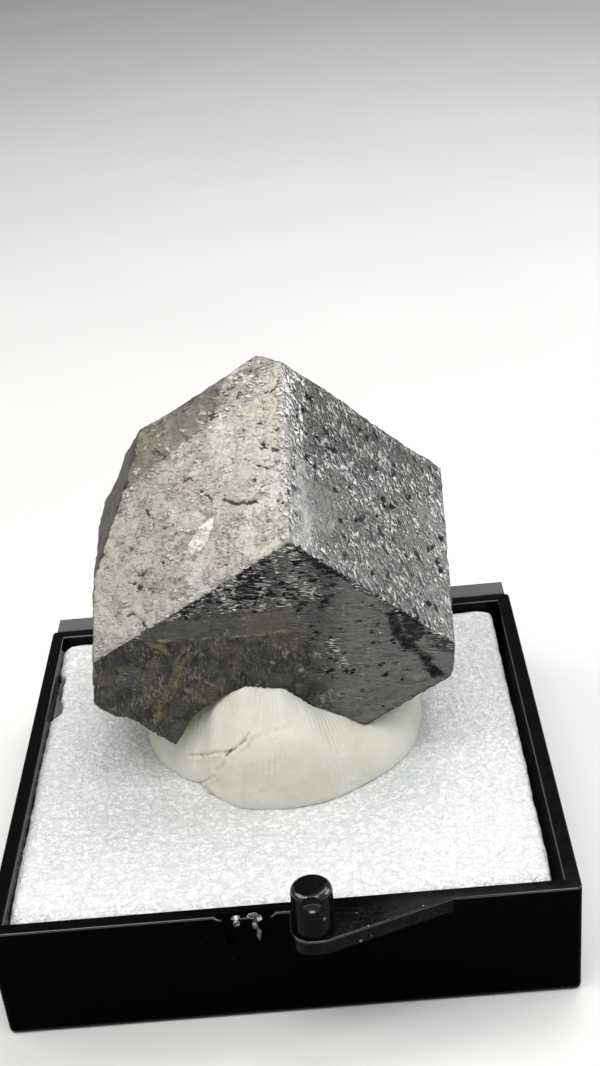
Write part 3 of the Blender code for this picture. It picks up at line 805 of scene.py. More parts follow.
frontMarks = {
    # lower, duller layer at the left, and a smooth slab along its top
    "layer": ((-20, -9.6), (-17.5, -9.8), (-11.4, -10.1), (-4.2, -9.8), (1.3, -9.1), (2.4, -10.2),
              (2.6, -12.4), (3.2, -14.7), (4.8, -17.0), (6.1, -20), (6, -26), (-20, -26)),
    "slab": ((-12.4, -8.9), (-11.2, -8.1), (-10.3, -8.0), (-7.8, -7.8), (-4.3, -7.5), (-2.7, -7.2),
             (0.9, -6.8), (1.4, -7.8), (1.3, -9.1), (-0.7, -9.3), (-4.2, -9.8), (-7.8, -10.0),
             (-12.0, -10.2)),
    # painted highlight along the slab's top edge
    "slabHighlight": ((-10.6, -8.2), (-7.8, -8.1), (-4.3, -7.8), (-3.2, -7.7)),
    "slabLine": ((-11.6, -10.2), (-7.8, -10.1), (-4.2, -9.8), (1.1, -9.2)),
    "olive": ((-4.3, -7.1), (1.3, -6.6), (1.5, -9.3), (1.2, -11.3), (0.0, -12.8), (-2.2, -11.2),
              (-4.2, -10.1)),
    # crumbling strip under the upper left edge, and its black places
    "crumbs": ((-16.2, -11.2), (-15.4, -10.4), (-11.4, -7.7), (-9.8, -6.6), (-7.8, -5.4), (-5.9, -3.8),
               (-3.9, -2.5), (-2.4, -1.3), (-0.2, 0.5), (1.1, -0.9), (1.3, -2.4), (3.0, -3.7),
               (3.2, -6.0), (1.8, -6.6), (-2.3, -7.1), (-4.3, -7.4), (-7.8, -7.7), (-10.7, -7.9),
               (-11.4, -8.6), (-13.7, -10.2)),
    "blackPlaces": (((-9.3, -6.9), (-8.7, -6.9), (-8.0, -7.1), (-8.0, -7.8), (-9.4, -7.8)),
                    ((-4.6, -3.6), (-2.4, -3.2), (-2.1, -5.9), (-2.7, -7.0), (-4.0, -7.1),
                     (-4.8, -5.6)),
                    ((2.5, -2.3), (4.4, -3.4), (4.1, -4.7), (3.7, -6.6), (3.0, -6.7), (2.7, -4.9))),
    "edgeLine": ((-11.2, -7.8), (-9.6, -7.1), (-7.8, -5.9), (-6.1, -4.5), (-4.3, -3.3), (-2.4, -1.6),
                 (-0.4, -0.2)),
    "striae": ((-0.6, -1.2), (1.0, -1.7), (2.6, -3.5), (2.8, -5.5), (0.2, -5.7), (-0.6, -3.8)),
    "gutter": ((-0.3, 0.1), (2.3, -1.2), (4.1, -2.2), (6.2, -3.6), (6.0, -4.1), (4.7, -3.9),
               (3.2, -3.2), (2.0, -2.3), (0.9, -1.3)),
    "gutterThin": ((5.4, -3.7), (7.3, -5.1), (8.8, -6.1), (10.3, -7.1)),
    "slant": ((8.7, -7.6), (9.4, -7.1), (10.0, -8.0), (10.5, -9.3), (11.4, -10.6), (12.6, -11.7),
              (13.1, -12.3), (14.0, -13.6), (14.8, -14.5), (13.5, -14.7), (12.7, -13.5), (12.0, -12.2),
              (10.8, -11.5), (9.9, -10.4), (9.3, -9.3), (9.0, -8.4)),
    "facet": ((9.9, -6.9), (11.2, -7.4), (12.5, -8.1), (12.6, -9.6), (12.1, -10.7), (11.4, -10.4),
              (10.6, -9.1)),
    "edgeCrumbs": ((4.1, -2.3), (7.3, -4.6), (10.3, -6.7), (12.5, -7.9), (12.4, -8.8), (10.0, -7.8),
                   (7.2, -5.8), (4.3, -3.8)),
    "corner": ((12.3, -7.9), (15.5, -8.2), (16.5, -10.5), (15.3, -11.8), (13.6, -11.6), (12.5, -10.4)),
    "peppered": ((2.8, -9.6), (5.3, -10.1), (6.0, -12.5), (5.8, -13.8), (3.3, -13.8), (2.9, -11.9)),
    "peppered2": ((6.7, -8.2), (8.7, -7.8), (9.1, -9.5), (8.1, -10.1), (6.8, -9.5)),
    "leftPatch": ((-15.6, -12.9), (-13.3, -13.0), (-13.2, -15.4), (-14.8, -15.6), (-15.7, -14.7)),
    "streak": ((-9.1, -11.6), (-9.6, -13.3), (-10.2, -14.9), (-11.0, -16.6), (-11.6, -18.4)),
    # points, half width
    "crescents": ((((-8.8, -14.1), (-7.9, -14.2), (-7.0, -14.9), (-5.8, -15.8)), 0.30),
                  (((-9.0, -15.7), (-8.1, -16.1), (-7.5, -17.1)), 0.32),
                  (((-12.2, -10.5), (-11.4, -10.8), (-10.9, -11.5)), 0.3)),
    # smooth facets of the lower layer: outline, tilt along u and v
    "flats": ((((-8.8, -14.7), (-7.7, -14.9), (-6.8, -15.6), (-6.0, -16.5), (-7.1, -17.4),
                (-7.7, -16.2), (-8.8, -15.5)), 0.10, 0.05),
              (((-10.8, -16.8), (-9.9, -16.5), (-8.8, -17.1), (-8.8, -18.2), (-9.7, -18.9),
                (-10.8, -18.4)), 0.12, 0.02),
              (((-1.7, -13.7), (0.3, -13.9), (1.1, -15.7), (1.0, -17.3), (-1.4, -16.6)), -0.06, 0.08),
              (((-10.6, -19.2), (-9.4, -19.1), (-9.8, -21.2), (-10.2, -22.2), (-11.1, -20.9)), 0.05,
               -0.08)),
    # place, radius
    "lights": ((-0.6, -10.8, 0.66), (-0.1, -11.9, 0.55), (2.9, -11.9, 0.44), (1.6, -13.6, 0.44),
               (3.6, -16.6, 0.66), (-2.2, -15.0, 0.66), (-0.9, -12.9, 0.5), (5.0, -16.5, 0.28),
               (4.2, -15.8, 0.22), (6.5, -17.3, 0.2), (8.5, -17.8, 0.2), (9.6, -14.5, 0.25),
               (10.0, -14.6, 0.25), (9.8, -15.0, 0.2), (12.2, -14.6, 0.33), (10.5, -13.6, 0.2),
               (7.4, -8.9, 0.29), (7.9, -9.9, 0.2), (5.1, -6.8, 0.2), (7.0, -14.2, 0.18),
               (-0.1, -6.2, 0.22), (-5.3, -9.2, 0.22), (-5.8, -9.4, 0.18), (7.8, -12.9, 0.17),
               (13.0, -9.9, 0.25), (13.7, -10.2, 0.25), (14.4, -9.8, 0.25), (-7.9, -14.0, 0.3),
               (-9.3, -13.9, 0.25)),
    "holes": ((2.3, -8.9, 0.22), (2.7, -9.5, 0.22), (3.9, -9.9, 0.22), (2.3, -10.2, 0.22),
              (3.5, -10.8, 0.22), (4.2, -11.4, 0.22), (5.0, -11.9, 0.22), (3.8, -12.4, 0.28),
              (4.1, -13.9, 0.36), (3.3, -13.3, 0.22), (5.6, -13.8, 0.33), (6.1, -13.8, 0.33),
              (4.5, -12.6, 0.22), (9.2, -14.1, 0.36), (8.6, -13.1, 0.3), (10.0, -13.1, 0.33),
              (3.1, -6.3, 0.33), (3.5, -6.6, 0.28), (1.1, -6.9, 0.28), (0.8, -6.8, 0.22),
              (6.9, -16.0, 0.25), (7.9, -6.6, 0.22), (8.3, -8.7, 0.22), (7.7, -9.5, 0.22),
              (9.8, -10.6, 0.28), (10.7, -11.5, 0.22), (-4.2, -12.3, 0.22), (-7.0, -11.3, 0.17),
              (-15.4, -13.6, 0.2), (-15.0, -13.9, 0.25), (-14.5, -13.5, 0.2), (-12.4, -12.1, 0.22),
              (-12.0, -11.8, 0.2)),
    "relief": {"swell": 0.05, "lines": 0.035, "striae": 0.13, "crumbs": 0.34, "crumbSink": 0.05,
               "lumps": 0.16, "grit": 0.05, "layerSink": 0.16, "slabSink": 0.10, "gutter": 0.2,
               "thin": 0.12, "slantSink": 0.22, "slant": 0.3, "facetSink": 0.1, "holes": 0.16,
               "black": 0.12, "fibreRise": 0.10, "fibres": 0.14, "slabLine": 0.06},
}


def reliefFront(points):
    u, v = faceMap("front", points)
    wobble = noiseAt(points, 1.1, 3, 81.0)
    fine = noiseAt(points, 0.5, 2, 83.0)

    def zone(name, ragged, fade):
        return zoneField(u, v, frontMarks[name], ragged * wobble, fade)

    def awayFrom(name):
        return lineDistance(u, v, frontMarks[name])

    # the layer ends in a step along the slab and fades out towards the right
    rightward = smooth((u + 0.5) / 2)
    layer = zone("layer", 0.5 + 1.6 * rightward, 0.25 + 3.0 * rightward)
    slab = zone("slab", 0.05, 0.16) * (1 - smooth((u + 1.4 + 1.2 * wobble) / 2.2))
    gutter = zoneField(u, v, frontMarks["gutter"], 0.3 * fine, 0.16, 0.4)
    thin = smooth(1.3 - (awayFrom("gutterThin") + 0.15 * fine) / 0.16)
    edgeLine = smooth(1.2 - (awayFrom("edgeLine") + 0.25 * fine) / 0.14)
    slant = zone("slant", 0.35, 0.35)
    facet = zone("facet", 0.12, 0.2) * (1 - slant)
    corner = zone("corner", 0.4, 0.6)
    crumbs = highest(highest(zone("crumbs", 0.25, 0.35), corner) * (1 - slab), zone("edgeCrumbs", 0.4, 0.5))
    black = highest(*[zoneField(u, v, outline, 0.9 * fine, 0.35, 0.2)
                      for outline in frontMarks["blackPlaces"]])
    black = highest(black * (1 - slab), edgeLine)
    striae = zone("striae", 0.5, 0.7)
    peppered = highest(zone("peppered", 0.9, 0.9), zone("peppered2", 0.6, 0.6))
    olive = zone("olive", 0.6, 0.9)
    leftPatch = zone("leftPatch", 0.8, 0.8)
    lines = turnedNoise(u, v, -2, 1.7, 0.20, 3.0)
    chips, chipValue = chipField(u, v, -20, 0.75, 0.40, 13.0)
    plain = (1 - layer) * (1 - crumbs)
    dull = layer * (1 - slab)
    flat = slab.copy()
    tilt = np.zeros(len(u))
    for outline, tiltU, tiltV in frontMarks["flats"]:
        inside = zoneField(u, v, outline, 0.25 * wobble, 0.2)
        middle = np.mean(outline, axis=0)
        tilt += inside * (tiltU * (u - middle[0]) + tiltV * (v - middle[1]) - 0.05)
        flat = highest(flat, 0.8 * inside)
    deep = frontMarks["relief"]
    grit = deep["lumps"] * noiseAt(points, 1.6, 4, 99.0) + deep["grit"] * fine
    height = deep["swell"] * noiseAt(points, 3.0, 2, 91.0)
    height += (plain * deep["lines"] * lines + striae * deep["striae"] * lines
               + crumbs * (deep["crumbs"] * chips - deep["crumbSink"]))
    height += dull * ((1 - flat) * grit - deep["layerSink"]) + tilt
    height += (slab * (-deep["slabSink"] + 0.05 * (v - 0.09 * u + 9.0))
               - deep["gutter"] * gutter - deep["thin"] * thin)
    height += (slant * (-deep["slantSink"] + deep["slant"] * chips)
               + facet * (-deep["facetSink"] + 0.06 * (u - 11.5)))
    sunk = (1 - flat) * (1 - 0.7 * layer) * pitField(u, v, "front", 5)
    holes = spotField(u, v, frontMarks["holes"], 0.4 * fine, 0.2, 0.7)
    height -= highest(sunk, deep["holes"] * holes) + deep["black"] * black
    fibres = smooth(1.1 - (awayFrom("streak") + 0.3 * wobble) / 0.8)
    fibreLines = turnedNoise(u, v, 66, 1.4, 0.2, 31.0)
    height += fibres * (deep["fibreRise"] + deep["fibres"] * fibreLines)
    line = smooth(1.2 - (awayFrom("slabLine") + 0.06 * wobble) / 0.12)
    height += deep["slabLine"] * line
    tan = [0.9 * smooth(1.3 - (lineDistance(u, v, crescent) + 0.4 * wobble) / (0.7 * half))
           for crescent, half in frontMarks["crescents"]]
    tan += [0.9 * fibres * smooth((fibreLines + 0.25) / 0.4), 0.55 * line, 0.25 * olive,
            dull * (1 - flat) * 0.28 * smooth(noiseAt(points, 2.4, 3, 105.0) / 0.3)]
    lights = spotField(u, v, frontMarks["lights"], 0.6 * fine, 0.3, 0.75)
    # a painted highlight along the slab's top edge
    highlightLine = smooth(1 - awayFrom("slabHighlight") / 0.35)
    streaks = smooth((turnedNoise(u, v, -4, 0.9, 0.14, 37.0) + 0.22) / 0.3)
    # painted highlight on the plain part to the right, on the striae and on the crumbs
    sheen = 0.35 * (1 - layer) * (1 - crumbs) * smooth((u - 3) / 3) + 0.35 * striae + 0.15 * crumbs
    return height, {
        "tan": highest(*tan), "pale": highest(0.7 * lights, 0.35 * highlightLine),
        "dark": highest(gutter, thin, slant * (0.45 + 0.55 * streaks), facet * (0.65 + 0.3 * streaks),
                        0.8 * smooth(sunk / 0.1), 0.9 * holes,
                        0.9 * black * smooth((0.85 - chipValue) / 0.2),
                        0.8 * crumbs * smooth((0.33 - chipValue) / 0.1),
                        0.5 * striae * smooth((-lines - 0.05) / 0.25)),
        "calm": highest(0.85 * flat, 0.6 * facet),
        "weather": highest(dull * (1 - 0.7 * leftPatch), 0.3 * olive),
        "flake": highest(crumbs, striae, 0.7 * peppered, 0.5 * slant, 0.25 * leftPatch),
        # painted shade over the slant band, the facet and the corner
        "sheen": np.clip(sheen - 1.2 * highest(slant, facet) - 0.5 * corner, -1, 1),
    }


def reliefPlain(name, points):
    # side faces: painted light at the right end, painted shade elsewhere; faces behind: weathered all over,
    # faint painted shade
    u, v = faceMap(name, points)
    side = name in ("strip", "sliver")
    lumps = noiseAt(points, 1.3, 3, 121.0)
    blotch = noiseAt(points, 1.9, 3, 131.0)
    sunk = pitField(u, v, "weathered", 9)
    paintedLit = side * smooth((points[:, 0] + 4.8 + 1.5 * blotch) / 3.5)
    height = 0.06 * noiseAt(points, 3.0, 2, 125.0) + (0.10 if side else 0.05) * lumps
    height += 0.05 * turnedNoise(u, v, -50, 1.2, 0.5, 7.0) + 0.10 * chipField(u, v, -40, 1.3, 0.7, 23.0)[0]
    return height - sunk, {
        # where painted lit, the side faces also lose weathering and tan and get paler lumps
        "tan": (0.5 if side else 0.35) * smooth((blotch + 0.1) / 0.4) * (1 - 0.4 * paintedLit),
        "pale": (0.3 + 0.35 * paintedLit) * smooth((lumps - 0.32 + 0.25 * paintedLit) / 0.15),
        "dark": highest(0.8 * smooth(sunk / 0.12), 0.6 * smooth((-lumps - 0.25) / 0.2)),
        "weather": 1 - 0.85 * paintedLit, "flake": np.full(len(u), 0.4),
        "sheen": -(0.9 if side else 0.2) * (1 - paintedLit),
    }


def carveCrystal(body):
    points = readPoints(body)
    over = faceOverrun(points)
    most = over.max(axis=1)
    share = np.clip(1 + (over - most[:, None]) / crystal["edgeBlend"], 0, 1) * (over > -0.3)
    onBreak = most < -crystal["skinDepth"]
    share[onBreak] = 0
    edge = np.clip(-np.sort(over, axis=1)[:, -2], 0, 5)     # about how far the nearest crystal edge is
    masks = {name: np.zeros(len(points)) for name in crystal["masks"]}
    move = np.zeros(points.shape)
    total = np.maximum(share.sum(axis=1), 1e-6)
    makers = {"left": reliefLeft, "right": reliefRight, "front": reliefFront}
    for index, name in enumerate(faceNames):
        near = share[:, index] > 0
        if not near.any():
            continue
        height, found = makers[name](points[near]) if name in makers else reliefPlain(name, points[near])
        portion = share[near, index] / total[near]
        move[near] += (height * portion)[:, None] * faceNormals[index]
        for mask, values in found.items():
            masks[mask][near] += values * portion
    # worn and chipped edges
    wornWidth, wornDepth = crystal["wornEdge"]
    chipWidth, chipDepth = crystal["chippedEdge"]
    wear = noiseAt(points, 1.3, 3, 151.0)
    chip = smooth(1 - edge / chipWidth) * smooth((wear - 0.05) / 0.35)
    inward = centre - points
    inward /= np.linalg.norm(inward, axis=1)[:, None]
    roundness = wornDepth * (1 + 0.6 * wear) * smooth(1 - edge / wornWidth) + chipDepth * chip
    move += roundness[:, None] * inward
    # edges count as flaky: more painted glints, pits and relief there
    masks["flake"] = highest(masks["flake"], 0.6 * smooth(1 - edge / 0.4))
    # broken underside
    move[onBreak, 2] += crystal["underRelief"] * noiseAt(points[onBreak], 1.8, 4, 161.0)
    masks["tan"][onBreak] = 0.5 * smooth(noiseAt(points[onBreak], 2.5, 3, 171.0) / 0.3)
    for place, reach, shift in crystal["nudges"]:
        near = smooth(1.25 - np.linalg.norm(points - place, axis=1) / reach)
        move += near[:, None] * np.array(shift)
    writePoints(body, points + move)
    # the negative part of the painted highlight mask becomes the painted shade mask
    masks["shade"] = -masks["sheen"]
    for name, values in masks.items():
        saveMask(body, name, values)


def mapFaces(body):
    # each face of the mesh gets the flat map and the material of the crystal face it lies on
    over = faceOverrun(faceCentres(body))
    owner = over.argmax(axis=1)
    looks = list(mineralLooks)
    lookOf = {"left": "magnetiteSatinLit", "strip": "magnetiteSatinLit",
              "right": "magnetiteEtched", "front": "magnetiteFrontShaded"}
    slots = np.array([looks.index(lookOf.get(name, "magnetiteWeathered")) for name in faceNames])[owner]
    slots[over.max(axis=1) < -crystal["brokenDepth"]] = looks.index("magnetiteBroken")
    body.data.polygons.foreach_set("material_index", slots.astype(np.int32))
    points = readPoints(body)[readValues(body.data.loops, "vertex_index")]
    loopOwner = np.repeat(owner, readValues(body.data.polygons, "loop_total"))
    flat = np.zeros((len(points), 2))
    for index, name in enumerate(faceNames):
        here = loopOwner == index
        flat[here, 0], flat[here, 1] = faceMap(name, points[here])
    saveMap(body.data.uv_layers.new(name="faceMap"), flat)


# the faces' colours are painted light and shade: the satin left face is a lit copy, the front a shaded one
mineralLooks = {
    # light, deep and smooth colours, a tint that comes in patches, weathering, glints and stains, the
    # shine, and the etching's direction in degrees, its size in millimetres and its strengths
    "magnetiteSatinLit": {
        "light": (0.60, 0.59, 0.52), "deep": (0.20, 0.19, 0.155), "smooth": (0.51, 0.50, 0.455),
        "tint": (0.43, 0.395, 0.355), "weather": (0.088, 0.083, 0.057), "glint": (0.90, 0.89, 0.81),
        "tan": (0.47, 0.41, 0.245), "dark": (0.06, 0.052, 0.043), "pale": (0.76, 0.76, 0.69),
        "roughness": 0.38, "metallic": 0.35, "angle": 10.0, "along": 1.2, "across": 0.65, "wander": 0.9,
        "amount": -0.02, "glints": 0.35, "pits": 0.55, "lines": 0.25, "cracks": 0.6, "relief": 0.20,
        "streaky": 0.35, "crust": 1.0,
    },
    "magnetiteEtched": {
        "light": (0.40, 0.40, 0.38), "deep": (0.07, 0.07, 0.065), "smooth": (0.25, 0.25, 0.235),
        "tint": (0.22, 0.22, 0.20), "weather": (0.20, 0.19, 0.15), "glint": (0.92, 0.92, 0.89),
        "tan": (0.40, 0.35, 0.24), "dark": (0.03, 0.03, 0.028), "pale": (0.75, 0.74, 0.70),
        "roughness": 0.30, "metallic": 0.6, "angle": 58.0, "along": 1.35, "across": 0.52, "wander": 1.3,
        "amount": 0.03, "glints": 0.5, "pits": 0.9, "lines": 0.5, "cracks": 0.2, "relief": 0.30,
        "streaky": 0.7, "crust": 1.0,
    },
    "magnetiteFrontShaded": {
        "light": (0.165, 0.164, 0.155), "deep": (0.042, 0.042, 0.039), "smooth": (0.080, 0.079, 0.066),
        "tint": (0.085, 0.083, 0.08), "weather": (0.095, 0.093, 0.078), "glint": (0.70, 0.69, 0.66),
        "tan": (0.26, 0.218, 0.115), "dark": (0.006, 0.006, 0.006), "pale": (0.32, 0.31, 0.24),
        "roughness": 0.34, "metallic": 0.45, "angle": 2.0, "along": 1.3, "across": 0.24, "wander": 0.5,
        "amount": -0.04, "glints": 0.35, "pits": 0.7, "lines": 0.15, "cracks": 0.1, "relief": 0.20,
        "streaky": 0.7, "crust": 0.42,
    },
    "magnetiteWeathered": {
        "light": (0.22, 0.215, 0.185), "deep": (0.085, 0.082, 0.07), "smooth": (0.2, 0.19, 0.16),
        "tint": (0.17, 0.16, 0.135), "weather": (0.15, 0.142, 0.105), "glint": (0.62, 0.60, 0.52),
        "tan": (0.26, 0.21, 0.12), "dark": (0.015, 0.014, 0.012), "pale": (0.33, 0.315, 0.265),
        "roughness": 0.42, "metallic": 0.4, "angle": 50.0, "along": 1.4, "across": 0.6, "wander": 0.8,
        "amount": -0.02, "glints": 0.5, "pits": 0.5, "lines": 0.2, "cracks": 0.3, "relief": 0.22,
        "streaky": 0.6, "crust": 0.8,
    },
    "magnetiteBroken": {
        "light": (0.12, 0.115, 0.10), "deep": (0.03, 0.03, 0.028), "smooth": (0.1, 0.1, 0.09),
        "tint": (0.08, 0.075, 0.07), "weather": (0.08, 0.075, 0.055), "glint": (0.40, 0.39, 0.36),
        "tan": (0.18, 0.14, 0.07), "dark": (0.008, 0.008, 0.008), "pale": (0.3, 0.28, 0.22),
        "roughness": 0.5, "metallic": 0.3, "angle": 0.0, "along": 1.2, "across": 1.0, "wander": 1.0,
        "amount": 0.0, "glints": 0.4, "pits": 0.5, "lines": 0.1, "cracks": 0.3, "relief": 0.25,
        "streaky": 0.6, "crust": 0.7,
    },
}


def buildMineral(name, look):
    # etched dashes, painted glints, and pits with painted shade over a mottled ground, with the carved
    # masks laid in
    material, tree, inputs = newMaterial(name, Metallic=look["metallic"])
    solid = objectCoords(tree)
    flake, calm = maskNode(tree, "flake"), maskNode(tree, "calm")
    etched = useGroup(tree, etching, Vector=flatCoords(tree, "faceMap"), Angle=radians(look["angle"]),
                      Along=look["along"], Across=look["across"], Wander=look["wander"],
                      Amount=flake * 0.10 + look["amount"], Seed=3.0)
    crust = useGroup(tree, etching, Vector=solid, Angle=0.6, Along=1.6 * look["crust"],
                     Across=0.9 * look["crust"], Wander=0.5, Amount=0.04, Seed=8.0)
    cracks = useGroup(tree, hairlines, Vector=solid, Scale=0.55, Width=0.014)["Mask"]
    grain = noiseNode(solid, 5.0, 3.0, 0.65)
    speckle = noiseNode(solid, 2.2, 3.0, 0.7)
    patches = noiseNode(solid, 0.42, 3.0, 0.6, 0.6)
    broad = noiseNode(solid, 0.30, 3.0, 0.6, 0.4)
    middling = ramp(noiseNode(solid, 1.1, 3.0, 0.6), 0.35, 0.65)
    ragged = grain - 0.5
    active = 1.0 - calm
    # the painted masks get ragged edges
    weather = ramp(maskNode(tree, "weather") + ragged, 0.3, 0.7)
    dark = maskNode(tree, "dark") + ragged * 0.9 + (0.5 - etched["Flecks"]) * 1.3
    dark = ramp(dark, 0.5, 0.85)
    pale = maskNode(tree, "pale") + ragged * 0.9 + (crust["Flecks"] - 0.5) * 0.8
    pale = ramp(pale, 0.4, 0.9, 0.0, 0.9)
    # etched ground, smooth places, and the weathered crust over both
    tone = etched["Flecks"] * look["streaky"] + middling * (1 - look["streaky"])
    colour = mixColour(tone, look["deep"], look["light"])
    colour = mixColour(ramp(broad, 0.46, 0.58, 0.0, 0.7), colour, look["tint"])
    still = mixColour(ramp(speckle, 0.52, 0.66, 0.0, 0.7), look["smooth"], look["light"])
    still = mixColour(ramp(speckle, 0.46, 0.34, 0.0, 0.7), still, look["deep"])
    colour = mixColour(calm * 0.8, colour, still)
    aged = mixColour(ramp(middling, 0.0, 1.0, 0.0, 0.6), look["weather"], look["deep"])
    aged = mixColour(ramp(patches, 0.42, 0.58, 0.0, 0.55), aged, look["deep"])
    lightest = ramp(patches, 0.4, 0.6, 0.5, 0.2)
    aged = mixColour(ramp(crust["Flecks"], 0.45, 1.0, 0.0, lightest), aged, look["light"])
    aged = mixColour(ramp(crust["Flecks"], 0.35, 0.0, 0.0, 0.5), aged, look["dark"])
    # painted glints in the crust, then its holes together with their painted shade
    aged = mixColour(crust["Glints"] * ramp(patches, 0.4, 0.55, 0.6, 0.15), aged, look["pale"])
    aged = mixColour(crust["HolesAndShade"] * 0.75, aged, look["dark"])
    colour = mixColour(weather * active, colour, aged)
    colour = mixColour(ramp(grain, 0.35, 0.7, 0.0, 0.3), colour, look["deep"])
    colour = mixColour(maskNode(tree, "tan") * ramp(grain, 0.3, 0.6, 0.4, 1.0), colour, look["tan"])
    # painted glints, painted highlight threads and broad painted light and shade, then pale bits, and holes
    # with painted shade, on top
    fresh = active * (1.0 - weather)
    shine = etched["Glints"] * fresh * ramp(flake, 0.0, 1.0, look["glints"], 1.0)
    colour = mixColour(shine, colour, look["glint"])
    colour = mixColour(etched["Lines"] * (fresh * look["lines"]), colour, look["glint"])
    # the sheen mask is painted highlight, the shade mask is painted shade
    colour = mixColour(maskNode(tree, "sheen") * 0.4, colour, look["glint"])
    colour = mixColour(maskNode(tree, "shade") * 0.7, colour, look["deep"])
    colour = mixColour(pale, colour, look["pale"])
    # the etching's holes come with the painted shade beside its dashes
    holes = etched["HolesAndShade"] * fresh * ramp(flake, 0.0, 1.0, look["pits"], 0.95)
    holes = mathNode("MAXIMUM", mathNode("MAXIMUM", holes, cracks * look["cracks"]), dark)
    feed(inputs["Base Color"], mixColour(holes, colour, look["dark"]))
    rough = ramp(grain, 0.3, 0.7, look["roughness"] - 0.08, look["roughness"] + 0.12)
    feed(inputs["Roughness"], rough + (weather + maskNode(tree, "tan")) * 0.12)
    height = etched["Height"] * ramp(fresh, 0.0, 1.0, 0.15, 1.0) + crust["Height"] * (weather * active)
    height = height * ramp(flake, 0.0, 1.0, 1.0, 1.7) + grain * 0.3 - cracks * 0.3
    feed(inputs["Normal"], bumpNode(height, 1.0, look["relief"]))
    return material


def buildCrystal():
    body = cutFaces()
    cutBreak(body)
    refineFaces(body)
    sharpenFaces(body)
    mapFaces(body)
    carveCrystal(body)
    for name, look in mineralLooks.items():
        body.data.materials.append(buildMineral(name, look))
    pickOnly(body)
    bpy.ops.object.shade_smooth()
    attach(body, "root")
    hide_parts("magnetite_crystal")
    print("crystal made,", len(body.data.polygons), "faces")


buildCrystal()


# the putty mound

putty = {
    "centre": (0.4, 5.0),
    "ground": 10.2,
    "turns": 150,
    "rings": 76,
    "wrapRadius": 12.0,
    "sink": 0.05,              # how far the foot goes into the foam
    "divisions": 2,
    "crowding": 0.45,          # how much closer the faces lie at the front
    "swell": 0.28,
    "dents": 0.05,
    # foot radius and crown height by direction in degrees, counter-clockwise from +X
    "foot": ((0, 13.45), (45, 13.2), (90, 12.6), (135, 13.0), (182, 13.5), (203, 13.25), (217, 12.8),
             (229, 12.5), (241, 13.45), (254, 14.4), (268, 14.5), (282, 14.3), (306, 13.7), (333, 13.7),
             (347, 13.4), (360, 13.45)),
    "crown": ((0, 6.6), (45, 5.4), (90, 5.2), (135, 5.6), (180, 7.6), (215, 11.2), (250, 12.6),
              (270, 11.6), (300, 8.2), (320, 6.9), (360, 6.6)),
    "power": 2.4,
    "clearance": 0.06,
    # creases are laid out as seen along this direction: points, half width, depth
    "creaseSide": (0.084, -0.823, 0.563),
    "creases": (
        (((-11.0, -1.2, 12.0), (-9.4, -2.8, 12.6), (-8.4, -3.6, 13.0)), 0.11, 0.09),
        (((-8.4, -3.6, 13.0), (-7.3, -4.4, 13.4), (-6.3, -5.7, 14.4), (-5.5, -6.2, 14.9)), 0.13, 0.18),
        (((-5.5, -6.2, 14.9), (-4.9, -6.6, 15.1), (-4.4, -7.0, 15.4), (-3.9, -7.3, 15.7),
          (-3.2, -7.4, 16.3), (-2.8, -7.3, 16.6)), 0.15, 0.24),
        (((-2.8, -7.3, 16.6), (-2.4, -7.0, 17.1)), 0.13, 0.12),
        (((-3.2, -7.4, 16.2), (-2.9, -7.2, 16.7), (-2.9, -6.9, 17.2)), 0.10, 0.06),
        (((-2.7, -7.3, 16.6), (-2.3, -7.0, 17.2), (-1.6, -6.4, 17.9), (-1.4, -5.8, 18.6)), 0.3, 0.03),
        (((-2.3, -7.3, 16.6), (-1.2, -7.2, 17.0), (0.1, -7.0, 17.2), (1.6, -6.6, 17.3)), 0.4, 0.03),
        (((-9.2, -3.8, 10.2), (-8.4, -4.3, 10.2), (-7.7, -4.5, 10.4), (-6.8, -5.9, 11.7),
          (-6.1, -6.5, 12.4)), 0.13, 0.16),
        (((-6.0, -6.5, 13.0), (-5.5, -6.7, 13.4), (-5.1, -7.0, 13.9), (-4.8, -7.2, 14.4)), 0.11, 0.10),
        (((-7.2, -5.2, 10.5), (-6.6, -6.4, 10.4), (-5.6, -7.7, 10.2)), 0.14, 0.14),
        (((5.9, -7.9, 10.8), (6.5, -7.4, 10.8), (7.1, -7.0, 10.8)), 0.11, 0.06),
        (((8.3, -6.0, 11.5), (8.7, -5.6, 11.8), (9.1, -5.2, 11.8)), 0.10, 0.05),
    ),
    "creaseBank": 0.06,        # the height of the soft bank beside a crease
    "hole": ((-4.6, -7.0, 15.0), (-4.4, -7.1, 15.3), (-4.1, -7.2, 15.6)),
    "holeHalf": 0.09,
    "holeDepth": 0.3,
    "colours": ((0.71, 0.695, 0.575), (0.765, 0.755, 0.65)),
    "grime": (0.52, 0.48, 0.36),
    # painted shade in the creases, and near-black painted shade in the hole
    "creaseShadeColour": (0.34, 0.295, 0.185),
    "holeShadeColour": (0.02, 0.017, 0.012),
    "subsurface": (0.3, 1.8, (1.0, 0.8, 0.5)),     # weight, scale, radius
}


def smoothRound(pairs, turns):
    # smooth reading of (degrees, value) pairs
    places, values = np.array(pairs, dtype=float).T
    index = np.clip(np.searchsorted(places, turns, side="left"), 1, len(places) - 1)
    share = smooth((turns - places[index - 1]) / (places[index] - places[index - 1]))
    return values[index - 1] + (values[index] - values[index - 1]) * share


